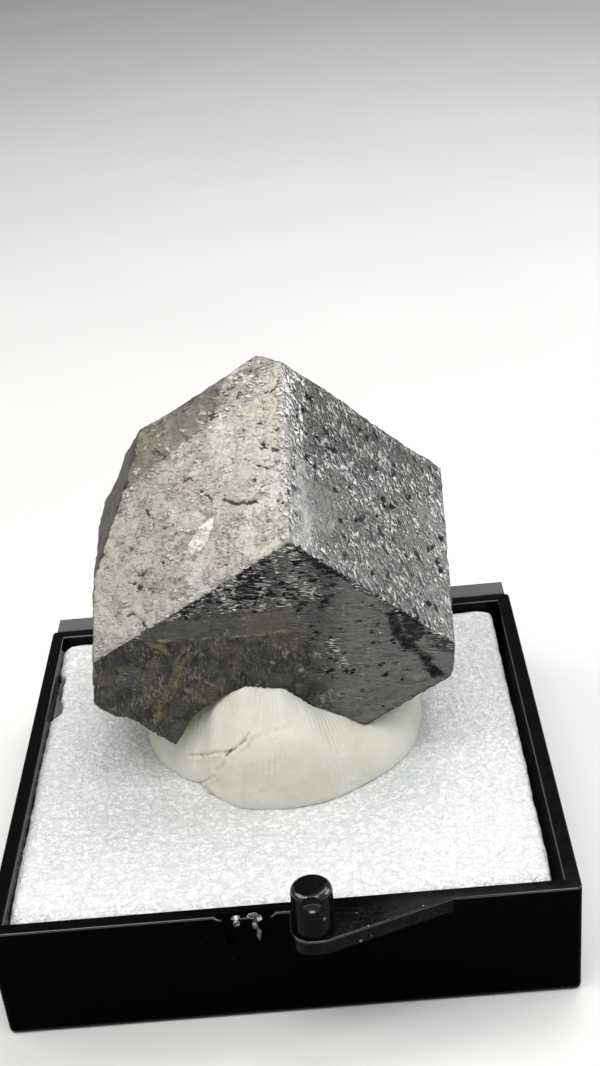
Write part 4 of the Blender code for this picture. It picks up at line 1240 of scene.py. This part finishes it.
def buildPuttyMaterial():
    weight, scale, radius = putty["subsurface"]
    material, tree, inputs = newMaterial("creamPutty", Roughness=0.5, Subsurface_Weight=weight,
                                         Subsurface_Scale=scale * mm, Subsurface_Radius=radius)
    solid = objectCoords(tree)
    ridges = newNode(tree, "TexWave", {"Vector": flatCoords(tree, "wrap"), "Scale": 0.7, "Distortion": 2.5,
                                       "Detail": 1.5, "Detail Scale": 0.4},
                     "Fac", wave_type="BANDS", bands_direction="X")
    pressed = ramp(noiseNode(solid, 0.22, 1.0), 0.42, 0.58)
    fine = noiseNode(solid, 3.5, 4.0, 0.6)
    dents = noiseNode(solid, 1.3, 2.0, 0.5)
    broad = noiseNode(solid, 0.18, 2.0)
    colour = mixColour(ramp(broad, 0.3, 0.7), *putty["colours"])
    colour = mixColour(ramp(fine, 0.62, 0.8, 0.0, 0.3), colour, putty["grime"])
    # painted shade in the creases and in the hole
    colour = mixColour(maskNode(tree, "creaseShade") * 0.6, colour, putty["creaseShadeColour"])
    colour = mixColour(maskNode(tree, "hole"), colour, putty["holeShadeColour"])
    feed(inputs["Base Color"], colour)
    feed(inputs["Roughness"], ramp(fine, 0.3, 0.7, 0.42, 0.6))
    feed(inputs["Normal"], bumpNode(ridges * (pressed * 0.8) + fine * 1.2 + dents * 2.2, 0.8, 0.06))
    return material


def shapePutty(lump):
    # half a ball becomes a kneaded mound with creases, and the crystal presses into its top
    ball = readPoints(lump)                          # points of the upper half of a unit ball
    ball /= np.linalg.norm(ball, axis=1)[:, None]
    around = np.arctan2(ball[:, 1], ball[:, 0]) + pi / 2
    around = (around + pi) % (2 * pi) - pi           # zero at the front
    around -= putty["crowding"] * np.sin(around)
    turns = np.degrees(around - pi / 2) % 360
    share = np.clip(np.hypot(ball[:, 0], ball[:, 1]), 0, 1)
    foot = smoothRound(putty["foot"], turns)
    crown = smoothRound(putty["crown"], turns)
    middle = np.mean([height for _, height in putty["crown"][:-1]])
    crown = middle + (crown - middle) * np.clip(share / 0.5, 0, 1)
    height = crown * np.sqrt(np.clip(1 - share ** putty["power"], 0, 1))
    reach = foot * share * (1 + 0.02 * np.sin(pi * share))
    wayX, wayY = np.cos(np.radians(turns)), np.sin(np.radians(turns))
    points = np.stack([putty["centre"][0] + reach * wayX, putty["centre"][1] + reach * wayY,
                       putty["ground"] + height], axis=1)
    outward = np.stack([wayX * share, wayY * share, np.sqrt(np.clip(1 - share ** 2, 0, 1))], axis=1)
    lift = putty["swell"] * noiseAt(points, 5.0, 2, 201.0) + putty["dents"] * noiseAt(points, 1.4, 2, 211.0)
    lift *= smooth(height / 1.5)
    side = Vector(putty["creaseSide"]).normalized()
    across = Vector((0, 0, 1)).cross(side).normalized()
    upward = side.cross(across)
    u, v = points @ np.array(across), points @ np.array(upward)
    wobble = 0.06 * noiseAt(points, 0.6, 3, 221.0)
    facing = smooth((outward @ np.array(side)) / 0.3)

    def creaseDistance(line):
        return lineDistance(u, v, [(Vector(spot).dot(across), Vector(spot).dot(upward)) for spot in line])

    creaseShade = np.zeros(len(points))
    for line, half, depth in putty["creases"]:
        away = (creaseDistance(line) + wobble) * 1.25
        lift -= facing * depth * smooth(1 - away / half)
        lift += facing * putty["creaseBank"] * smooth(depth / 0.2) * smooth(1 - np.abs(away - 0.45) / 0.4)
        # the painted crease shade
        creaseShade = highest(creaseShade, facing * min(1.0, depth / 0.2) * smooth(1 - away / (0.75 * half)))
    hole = facing * smooth(1.3 - creaseDistance(putty["hole"]) / putty["holeHalf"])
    lift -= putty["holeDepth"] * hole
    points += outward * lift[:, None]
    # the crystal is pressed into the top
    inside = faceOverrun(points).max(axis=1) < 0.0
    under = breakHeight(points[:, 0], points[:, 1]) - putty["clearance"]
    covered = inside & (points[:, 2] > under)
    points[covered, 2] = under[covered]
    points[:, 2] = np.maximum(points[:, 2], putty["ground"] - putty["sink"])
    writePoints(lump, points)
    saveMask(lump, "creaseShade", creaseShade)
    # the hole's mask, painted near black as shade
    saveMask(lump, "hole", smooth((hole - 0.55) / 0.4))
    return points, around


def buildPutty():
    lump = addShape("puttyMound", bpy.ops.mesh.primitive_uv_sphere_add,
                    segments=putty["turns"], ring_count=putty["rings"], radius=1.0)
    selectFaces(lump, faceCentres(lump)[:, 2] * mm < -0.005)
    bpy.ops.mesh.delete(type="FACE")
    objectMode()
    applyModifier(lump, "SUBSURF", subdivision_type="SIMPLE", levels=putty["divisions"])
    points, around = shapePutty(lump)
    # close the foot
    pickOnly(lump)
    editMode("EDGE")
    bpy.ops.mesh.select_non_manifold()
    bpy.ops.mesh.edge_face_add()
    turnOutwards()
    corners = readValues(lump.data.loops, "vertex_index")
    layer = lump.data.uv_layers.active
    layer.name = "wrap"
    saveMap(layer, np.stack([around[corners] * putty["wrapRadius"], points[corners, 2]], axis=1))
    lump.data.materials.append(buildPuttyMaterial())
    pickOnly(lump)
    bpy.ops.object.shade_smooth()
    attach(lump, "root")
    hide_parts("putty_mound")
    print("putty made,", len(lump.data.polygons), "faces")


buildPutty()


# blocks and prisms for the foam and the box

def addBlock(name, low, high):
    # a block between two opposite corners
    return addShape(name, bpy.ops.mesh.primitive_cube_add, (Vector(high) - Vector(low)) * mm,
                    (Vector(high) + Vector(low)) * mm / 2, size=1.0)


def addPrism(name, outline, step):
    # a prism over a closed outline of places, drawn out by a step
    prism = addShape(name, bpy.ops.mesh.primitive_circle_add,
                     vertices=len(outline), fill_type="NGON", radius=mm)
    writePoints(prism, np.array(outline, dtype=float))
    drawOut(step)
    return prism


# the foam pad

foam = {
    "low": (-23.6, -23.05, 1.6),
    "high": (22.85, 23.6, 10.2),
    "corner": 1.3,
    "edge": 0.35,
    "rollStart": -20.6,        # where the worn front edge starts to round off, and its radius
    "roll": 2.6,
    "tear": ((-24.6, 18.8), (-23.9, 18.2), (-23.0, 16.9), (-23.1, 14.9), (-22.85, 13.1), (-22.7, 10.5),
             (-22.95, 9.6), (-23.6, 8.9), (-24.6, 8.4)),
    "tearEdge": ((-23.4, 17.6), (-23.0, 16.9), (-23.1, 14.9), (-22.85, 13.1), (-22.7, 10.5), (-22.95, 9.6),
                 (-23.6, 8.9)),
    "tearDepth": 0.8,
    "scratchDepth": 0.15,
    "reachX": (-23.63, 23.0),
    "border": 22,              # the sides beyond this are uneven
    "grain": 0.07,
    "swell": 0.12,
    "sideSwell": (0.10, 0.12),
    "colours": ((0.66, 0.675, 0.66), (0.71, 0.72, 0.71)),
    "shadow": (0.60, 0.61, 0.605),
    "wispColours": ((0.92, 0.93, 0.92), (0.55, 0.56, 0.555)),
    # painted glints on the beads and the sparks
    "beadGlintColour": (0.95, 0.96, 0.95),
    "sparkGlintColour": (1.0, 1.0, 1.0),
    "fineColour": (0.56, 0.57, 0.565),
    # grey of the torn dent, and the painted shade by its steep edge
    "tornColours": ((0.19, 0.195, 0.185), (0.06, 0.062, 0.06)),
    "subsurface": (0.15, 0.8, (1.0, 1.0, 1.0)),    # weight, scale, radius
    "scratch": ((16.1, -6.3), (22.9, -0.7)),
    "voxel": 0.31,
}


def buildFoamMaterial():
    weight, scale, radius = foam["subsurface"]
    material, tree, inputs = newMaterial("whiteFoam", Roughness=0.5, Subsurface_Weight=weight,
                                         Subsurface_Scale=scale * mm, Subsurface_Radius=radius)
    solid = objectCoords(tree)
    beads = useGroup(tree, specks, Vector=solid, Scale=1.7, Amount=0.5)["Mask"]
    sparks = useGroup(tree, specks, Vector=solid, Scale=2.9, Amount=0.42)["Mask"]
    cells = cellNode(solid, 1.5)
    fine = noiseNode(solid, 3.2, 3.0, 0.65)
    middling = noiseNode(solid, 1.2, 2.0, 0.6)
    broad = noiseNode(solid, 0.12, 2.0)
    wisps = noiseNode(solid, 2.1, 2.5, 0.6, 0.8)
    torn = maskNode(tree, "torn")
    colour = mixColour(ramp(broad, 0.3, 0.7), *foam["colours"])
    # painted shadow patches, light and dark wisps, painted glints on beads and sparks, darker grain, then
    # the torn dent
    for share, coat in (
            (ramp(middling, 0.42, 0.6, 0.0, 0.35), foam["shadow"]),
            (ramp(wisps, 0.52, 0.60, 0.0, 0.7), foam["wispColours"][0]),
            (ramp(wisps, 0.44, 0.34, 0.0, 0.5), foam["wispColours"][1]),
            (beads * 0.4, foam["beadGlintColour"]), (sparks * 0.8, foam["sparkGlintColour"]),
            (ramp(fine, 0.55, 0.72, 0.0, 0.3), foam["fineColour"]),
            (ramp(torn, 0.0, 0.5), foam["tornColours"][0]),
            (ramp(torn, 0.55, 1.0), foam["tornColours"][1])):
        colour = mixColour(share, colour, coat)
    feed(inputs["Base Color"], colour)
    feed(inputs["Roughness"], ramp(fine, 0.3, 0.7, 0.28, 0.6))
    height = cells * -0.7 + beads * 0.35 + sparks * 0.2 + fine * 0.7 + wisps * 1.5
    feed(inputs["Normal"], bumpNode(height, 1.0, 0.17))
    return material


def buildFoam():
    pad = addBlock("foamInsert", foam["low"], foam["high"])
    top = foam["high"][2]
    bevelEdges(pad, lambda a, b: abs(a.z - b.z) > 4, foam["corner"], 6)
    bevelEdges(pad, lambda a, b: min(a.z, b.z) > top - tiny, foam["edge"], 3)
    applyModifier(pad, "REMESH", mode="VOXEL", voxel_size=foam["voxel"] * mm)
    points = readPoints(pad)
    x, y, z = points.T
    upper = smooth((z - 5.0) / 4.0)
    # the worn front edge
    past = np.clip(foam["rollStart"] - y, 0, 0.97 * foam["roll"])
    drop = foam["roll"] - np.sqrt(foam["roll"] ** 2 - past ** 2)
    # the torn place at the left edge and a scratch on the right
    inside = insideDistance(x, y, foam["tear"]) + 0.08 * noiseAt(points, 0.8, 2, 341.0)
    onTop = smooth((z - top + 1.2) / 0.8)
    torn = smooth(inside / 0.16 + 0.5) * onTop
    edge = smooth(1 - lineDistance(x, y, foam["tearEdge"]) / 0.75)
    scratch = smooth(1 - lineDistance(x, y, foam["scratch"]) / 0.35) * onTop
    rough = foam["grain"] * noiseAt(points, 1.0, 2, 301.0) + foam["swell"] * noiseAt(points, 7.0, 2, 311.0)
    points[:, 2] += ((rough - drop) * upper - foam["tearDepth"] * torn * (0.45 + 0.55 * edge)
                     - foam["scratchDepth"] * scratch)
    swellX, swellY = foam["sideSwell"]
    points[:, 0] += swellX * noiseAt(points, 2.0, 2, 321.0) * upper * (np.abs(x) > foam["border"])
    points[:, 1] += swellY * noiseAt(points, 2.0, 2, 331.0) * upper * (np.abs(y) > foam["border"])
    points[:, 0] = np.clip(points[:, 0], *foam["reachX"])
    writePoints(pad, points)
    # the torn dent is painted grey, darker by its steep edge as painted shade; the scratch slightly grey
    saveMask(pad, "torn", highest(torn * (0.5 + 0.5 * edge), 0.12 * scratch))
    pad.data.materials.append(buildFoamMaterial())
    pickOnly(pad)
    bpy.ops.object.shade_smooth()
    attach(pad, "root")
    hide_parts("foam_insert")
    print("foam made,", len(pad.data.polygons), "faces")


buildFoam()


# the box base

box = {
    "half": 25.0,
    "tall": 11.2,
    "footHalf": 24.75,
    "corner": 0.5,
    "rim": 1.35,
    "innerHalf": 23.4,         # half the width of the inside, at the floor
    "outerSide": 24.2,         # faces beyond this belong to the outer walls
    "floor": 1.5,
    "footEdge": 0.45,
    "softEdge": 0.16,
    "lip": ((-24.6, 24.3, 10.1), (24.6, 27.9, 11.1)),
    "tabLow": 9.85,
    "wallFace": -24.3,         # the tab's edges behind this lie inside the wall
    "tabStart": ((0.6, -24.2), (0.6, -26.8)),
    "tabTurn": (0.6, -29.05, 1.9, 2.1),        # centre of the rounded end less its radius, radii in x and y
    "tabEnd": ((3.6, -28.99), (14.2, -25.0), (14.2, -24.2)),
    "post": (2.7, -27.0, 10.15, 15.4, 1.75),   # x, y, foot, top, radius
    "postEdge": 0.6,
    "dimple": (2.7, -29.32, 14.8, 1.05),       # x, y, z, radius of the ball that presses it
    "recess": ((-5.9, 11.3), (-5.4, 10.85), (-0.9, 10.85), (-0.3, 11.3)),
    # tapering grooves in the front wall, as (x, z) outlines
    "grooves": (
        ((-5.1, 11.0), (-4.25, 11.0), (-4.3, 7.95), (-4.85, 7.95)),
        ((-1.75, 11.0), (-0.95, 11.0), (-1.8, 7.95), (-2.35, 7.95)),
    ),
    "grooveDepth": 0.43,
    "recessDepth": 0.45,
    "recessEdge": 0.09,
    "smoothAngle": 35,
    "softTilt": (0.2, 0.93),   # faces that lean between these, above softLow, are the soft edges
    "softLow": 9.7,
    "bitRoughness": 0.10,
    # where dust begins and is full on the tab, where the painted reflection and roughness do on the lip,
    # and where torn bits pale
    "dustY": (-24.9, -25.2),
    "dustX": (2.0, 4.0),
    "lipReflectionY": (25.1, 25.6),
    "tornZ": (9.6, 10.9),
    "dustColour": (0.45, 0.44, 0.42),
    "bloomColour": (0.5, 0.5, 0.48),
    # painted reflection on the lip
    "lipReflectionColour": (0.11, 0.104, 0.106),
    "tornColours": ((0.03, 0.028, 0.027), (0.75, 0.74, 0.71)),
    # torn bits of plastic at the recess: place and half sizes
    "bits": (
        ((-3.95, -24.85, 10.85), (0.36, 0.22, 0.18)), ((-3.9, -25.0, 10.45), (0.28, 0.12, 0.38)),
        ((-2.45, -24.85, 10.95), (0.48, 0.25, 0.2)), ((-2.0, -24.95, 10.75), (0.28, 0.16, 0.3)),
        ((-2.4, -25.0, 10.1), (0.22, 0.1, 0.5)), ((-2.15, -24.9, 9.1), (0.2, 0.1, 0.75)),
    ),
}

plasticLooks = (
    # name, colour, painted reflection on the lip, specular, least and most roughness
    ("blackGloss", (0.0014, 0.0014, 0.0015), 1.0, 0.06, 0.10, 0.20),
    # the wall copy is darker and barely reflects: painted shade
    ("blackWallShaded", (0.0004, 0.0004, 0.0005), 0.0, 0.012, 0.25, 0.35),
    # the edge copy reflects strongly: painted highlight
    ("blackEdgeLit", (0.004, 0.004, 0.0042), 1.0, 0.95, 0.12, 0.20),
)


def buildPlastic(name, colour, lipReflection, specular, low, high):
    material, tree, inputs = newMaterial(name, Specular_IOR_Level=specular)
    solid = objectCoords(tree)
    placeX = splitVector(solid)
    placeY = placeX.beside("Y")
    fine = noiseNode(solid, 0.6, 3.0)
    grain = noiseNode(solid, 2.5, 3.0, 0.6)
    # dust lies mostly on the tab, and the lip at the back gets a painted reflection and is rougher
    onTab = ramp(placeY, *box["dustY"]) * ramp(placeX, *box["dustX"])
    onLip = ramp(placeY + fine * 0.4, *box["lipReflectionY"])
    dust = useGroup(tree, specks, Vector=solid, Scale=1.1, Amount=ramp(onTab, 0.0, 1.0, 0.05, 0.18))["Mask"]
    base = mixColour(dust * 0.4, colour, box["dustColour"])
    base = mixColour(onTab * ramp(grain, 0.4, 0.7, 0.0, 0.015), base, box["bloomColour"])
    base = mixColour(onLip * lipReflection, base, box["lipReflectionColour"])
    feed(inputs["Base Color"], base)
    feed(inputs["Roughness"], ramp(onLip, 0.0, 1.0, ramp(fine, 0.3, 0.7, low, high), 0.55))
    feed(inputs["Normal"], bumpNode(noiseNode(solid, 0.25, 2.0), 0.15, 0.1))
    return material


def buildTornPlastic():
    # white where it is torn, fading down the wall
    material, tree, inputs = newMaterial("tornPlastic", Roughness=0.45)
    solid = objectCoords(tree)
    patches = ramp(noiseNode(solid, 2.2, 3.0, 0.6), 0.42, 0.6)
    white = patches * ramp(splitVector(solid).beside("Z"), *box["tornZ"], 0.12, 1.0)
    feed(inputs["Base Color"], mixColour(white, *box["tornColours"]))
    return material


def buildBoxShell():
    # a tray with draft, a rim and rounded corners
    half, tall, rim, corner = box["half"], box["tall"], box["rim"], box["corner"]
    shell = addBlock("boxBase", (-half, -half, 0), (half, half, tall))

    def narrow(share):
        bpy.ops.transform.resize(value=(share, share, 1), center_override=(0, 0, 0))
        objectMode()

    selectFaces(shell, faceCentres(shell)[:, 2] < tiny)
    narrow(box["footHalf"] / half)
    selectFaces(shell, faceCentres(shell)[:, 2] > tall - tiny)
    bpy.ops.mesh.inset(thickness=rim * mm)
    bpy.ops.mesh.extrude_region_move(TRANSFORM_OT_translate={"value": (0, 0, (box["floor"] - tall) * mm)})
    narrow(box["innerHalf"] / (half - rim))

    def onOutline(spot):
        x, y = [max(abs(value) - (half - corner), 0) for value in (spot.x, spot.y)]
        return sqrt(x * x + y * y) > corner - tiny

    def onRimEdge(a, b):
        inside = max(abs(a.x), abs(a.y), abs(b.x), abs(b.y)) < half - rim + tiny
        return min(a.z, b.z) > tall - tiny and (inside or (onOutline(a) and onOutline(b)))

    bevelEdges(shell, lambda a, b: abs(a.z - b.z) > 5 and abs(a.x) > 24, corner, 4)
    bevelEdges(shell, lambda a, b: max(a.z, b.z) < tiny, box["footEdge"], 3)
    bevelEdges(shell, onRimEdge, box["softEdge"], 3)
    return shell


def addLipAndTab(shell):
    front, tall, soft = box["wallFace"], box["tall"], box["softEdge"]
    lip = addBlock("lip", *box["lip"])
    lipTop = box["lip"][1][2]
    bevelEdges(lip, lambda a, b: min(a.z, b.z) > lipTop - tiny and max(a.y, b.y) > box["half"], soft, 3)
    combine(shell, lip, "UNION")
    x, y, wide, deep = box["tabTurn"]
    bend = [(x + wide * (1 + cos(radians(turn))), y + deep * (1 + sin(radians(turn))))
            for turn in range(180, 271, 15)]
    outline = list(box["tabStart"]) + bend + list(box["tabEnd"])
    low = box["tabLow"]
    tab = addPrism("tab", [(x, y, low) for x, y in outline], (0, 0, tall - low))
    bevelEdges(tab, lambda a, b: min(a.z, b.z) > tall - tiny and min(a.y, b.y) < front, soft, 3)
    combine(shell, tab, "UNION")


def cutRecessAndGrooves(shell):
    half, start = box["half"], box["half"] + 1
    recess = box["recess"]
    left, right, low = recess[0][0], recess[3][0], recess[1][1]
    tool = addPrism("recess", [(x, -start, z) for x, z in recess], (0, 1 + box["recessDepth"], 0))
    combine(shell, tool, "DIFFERENCE")

    def onRecessEdge(a, b):
        inFront = max(abs(a.y + half), abs(b.y + half)) < 0.04
        return inFront and left < min(a.x, b.x) and max(a.x, b.x) < right and min(a.z, b.z) > low - 0.05

    bevelEdges(shell, onRecessEdge, box["recessEdge"], 2)
    for outline in box["grooves"]:
        tool = addPrism("groove", [(x, -start, z) for x, z in outline], (0, 1 + box["grooveDepth"], 0))
        combine(shell, tool, "DIFFERENCE")


def addPost(shell):
    # the round post at the front, with a dimple pressed into it
    x, y, low, high, radius = box["post"]
    post = addShape("post", bpy.ops.mesh.primitive_cylinder_add,
                    place=(x * mm, y * mm, (low + high) / 2 * mm),
                    vertices=48, radius=radius * mm, depth=(high - low) * mm)
    bevelEdges(post, lambda a, b: min(a.z, b.z) > high - tiny, box["postEdge"], 5)
    combine(shell, post, "UNION")
    x, y, z, radius = box["dimple"]
    ball = addShape("dimple", bpy.ops.mesh.primitive_uv_sphere_add, place=(x * mm, y * mm, z * mm),
                    segments=40, ring_count=24, radius=radius * mm)
    combine(shell, ball, "DIFFERENCE")


def paintBox(shell):
    # matt outer walls darker as painted shade, soft edges reflecting strongly as painted highlight, glossy
    # elsewhere
    centres = faceCentres(shell)
    normals = np.array([tuple(face.normal) for face in shell.data.polygons])
    x, y, z = centres.T
    tilt = np.abs(normals[:, 2])
    steep, flat = box["softTilt"]
    wall = (tilt < steep) & (np.maximum(np.abs(x), np.abs(y)) > box["outerSide"])
    wall &= (np.abs(y) < box["half"] + 0.05) & ((normals * centres)[:, :2].sum(axis=1) > 0)
    slots = np.where(wall | (normals[:, 2] < -0.3), 1, 0)
    slots[(tilt > steep) & (tilt < flat) & (z > box["softLow"]) & (normals[:, 2] > 0)] = 2
    for look in plasticLooks:
        shell.data.materials.append(buildPlastic(*look))
    shell.data.polygons.foreach_set("material_index", slots.astype(np.int32))


def addBits(shell):
    # ragged scraps that stay separate lumps of the same mesh
    torn = buildTornPlastic()
    shell.data.materials.append(torn)
    bits = []
    for place, halves in box["bits"]:
        bit = addShape("bit", bpy.ops.mesh.primitive_ico_sphere_add,
                       Vector(halves) * mm, Vector(place) * mm, subdivisions=4, radius=1.0)
        points = readPoints(bit)
        out = (points - np.array(place)) / np.array(halves)
        ragged = box["bitRoughness"] * noiseAt(points, 0.35, 3, 401.0)
        writePoints(bit, points + out * ragged[:, None])
        bit.data.materials.append(torn)
        bits.append(bit)
    pickOnly(shell)
    for bit in bits:
        bit.select_set(True)
    bpy.ops.object.join()


def buildBox():
    shell = buildBoxShell()
    addLipAndTab(shell)
    cutRecessAndGrooves(shell)
    addPost(shell)
    pickOnly(shell)
    bpy.ops.object.shade_smooth_by_angle(angle=radians(box["smoothAngle"]))
    applyModifier(shell, "WEIGHTED_NORMAL", keep_sharp=True)
    paintBox(shell)
    addBits(shell)
    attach(shell, "root")
    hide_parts("box_base")
    print("box made,", len(shell.data.polygons), "faces")


buildBox()
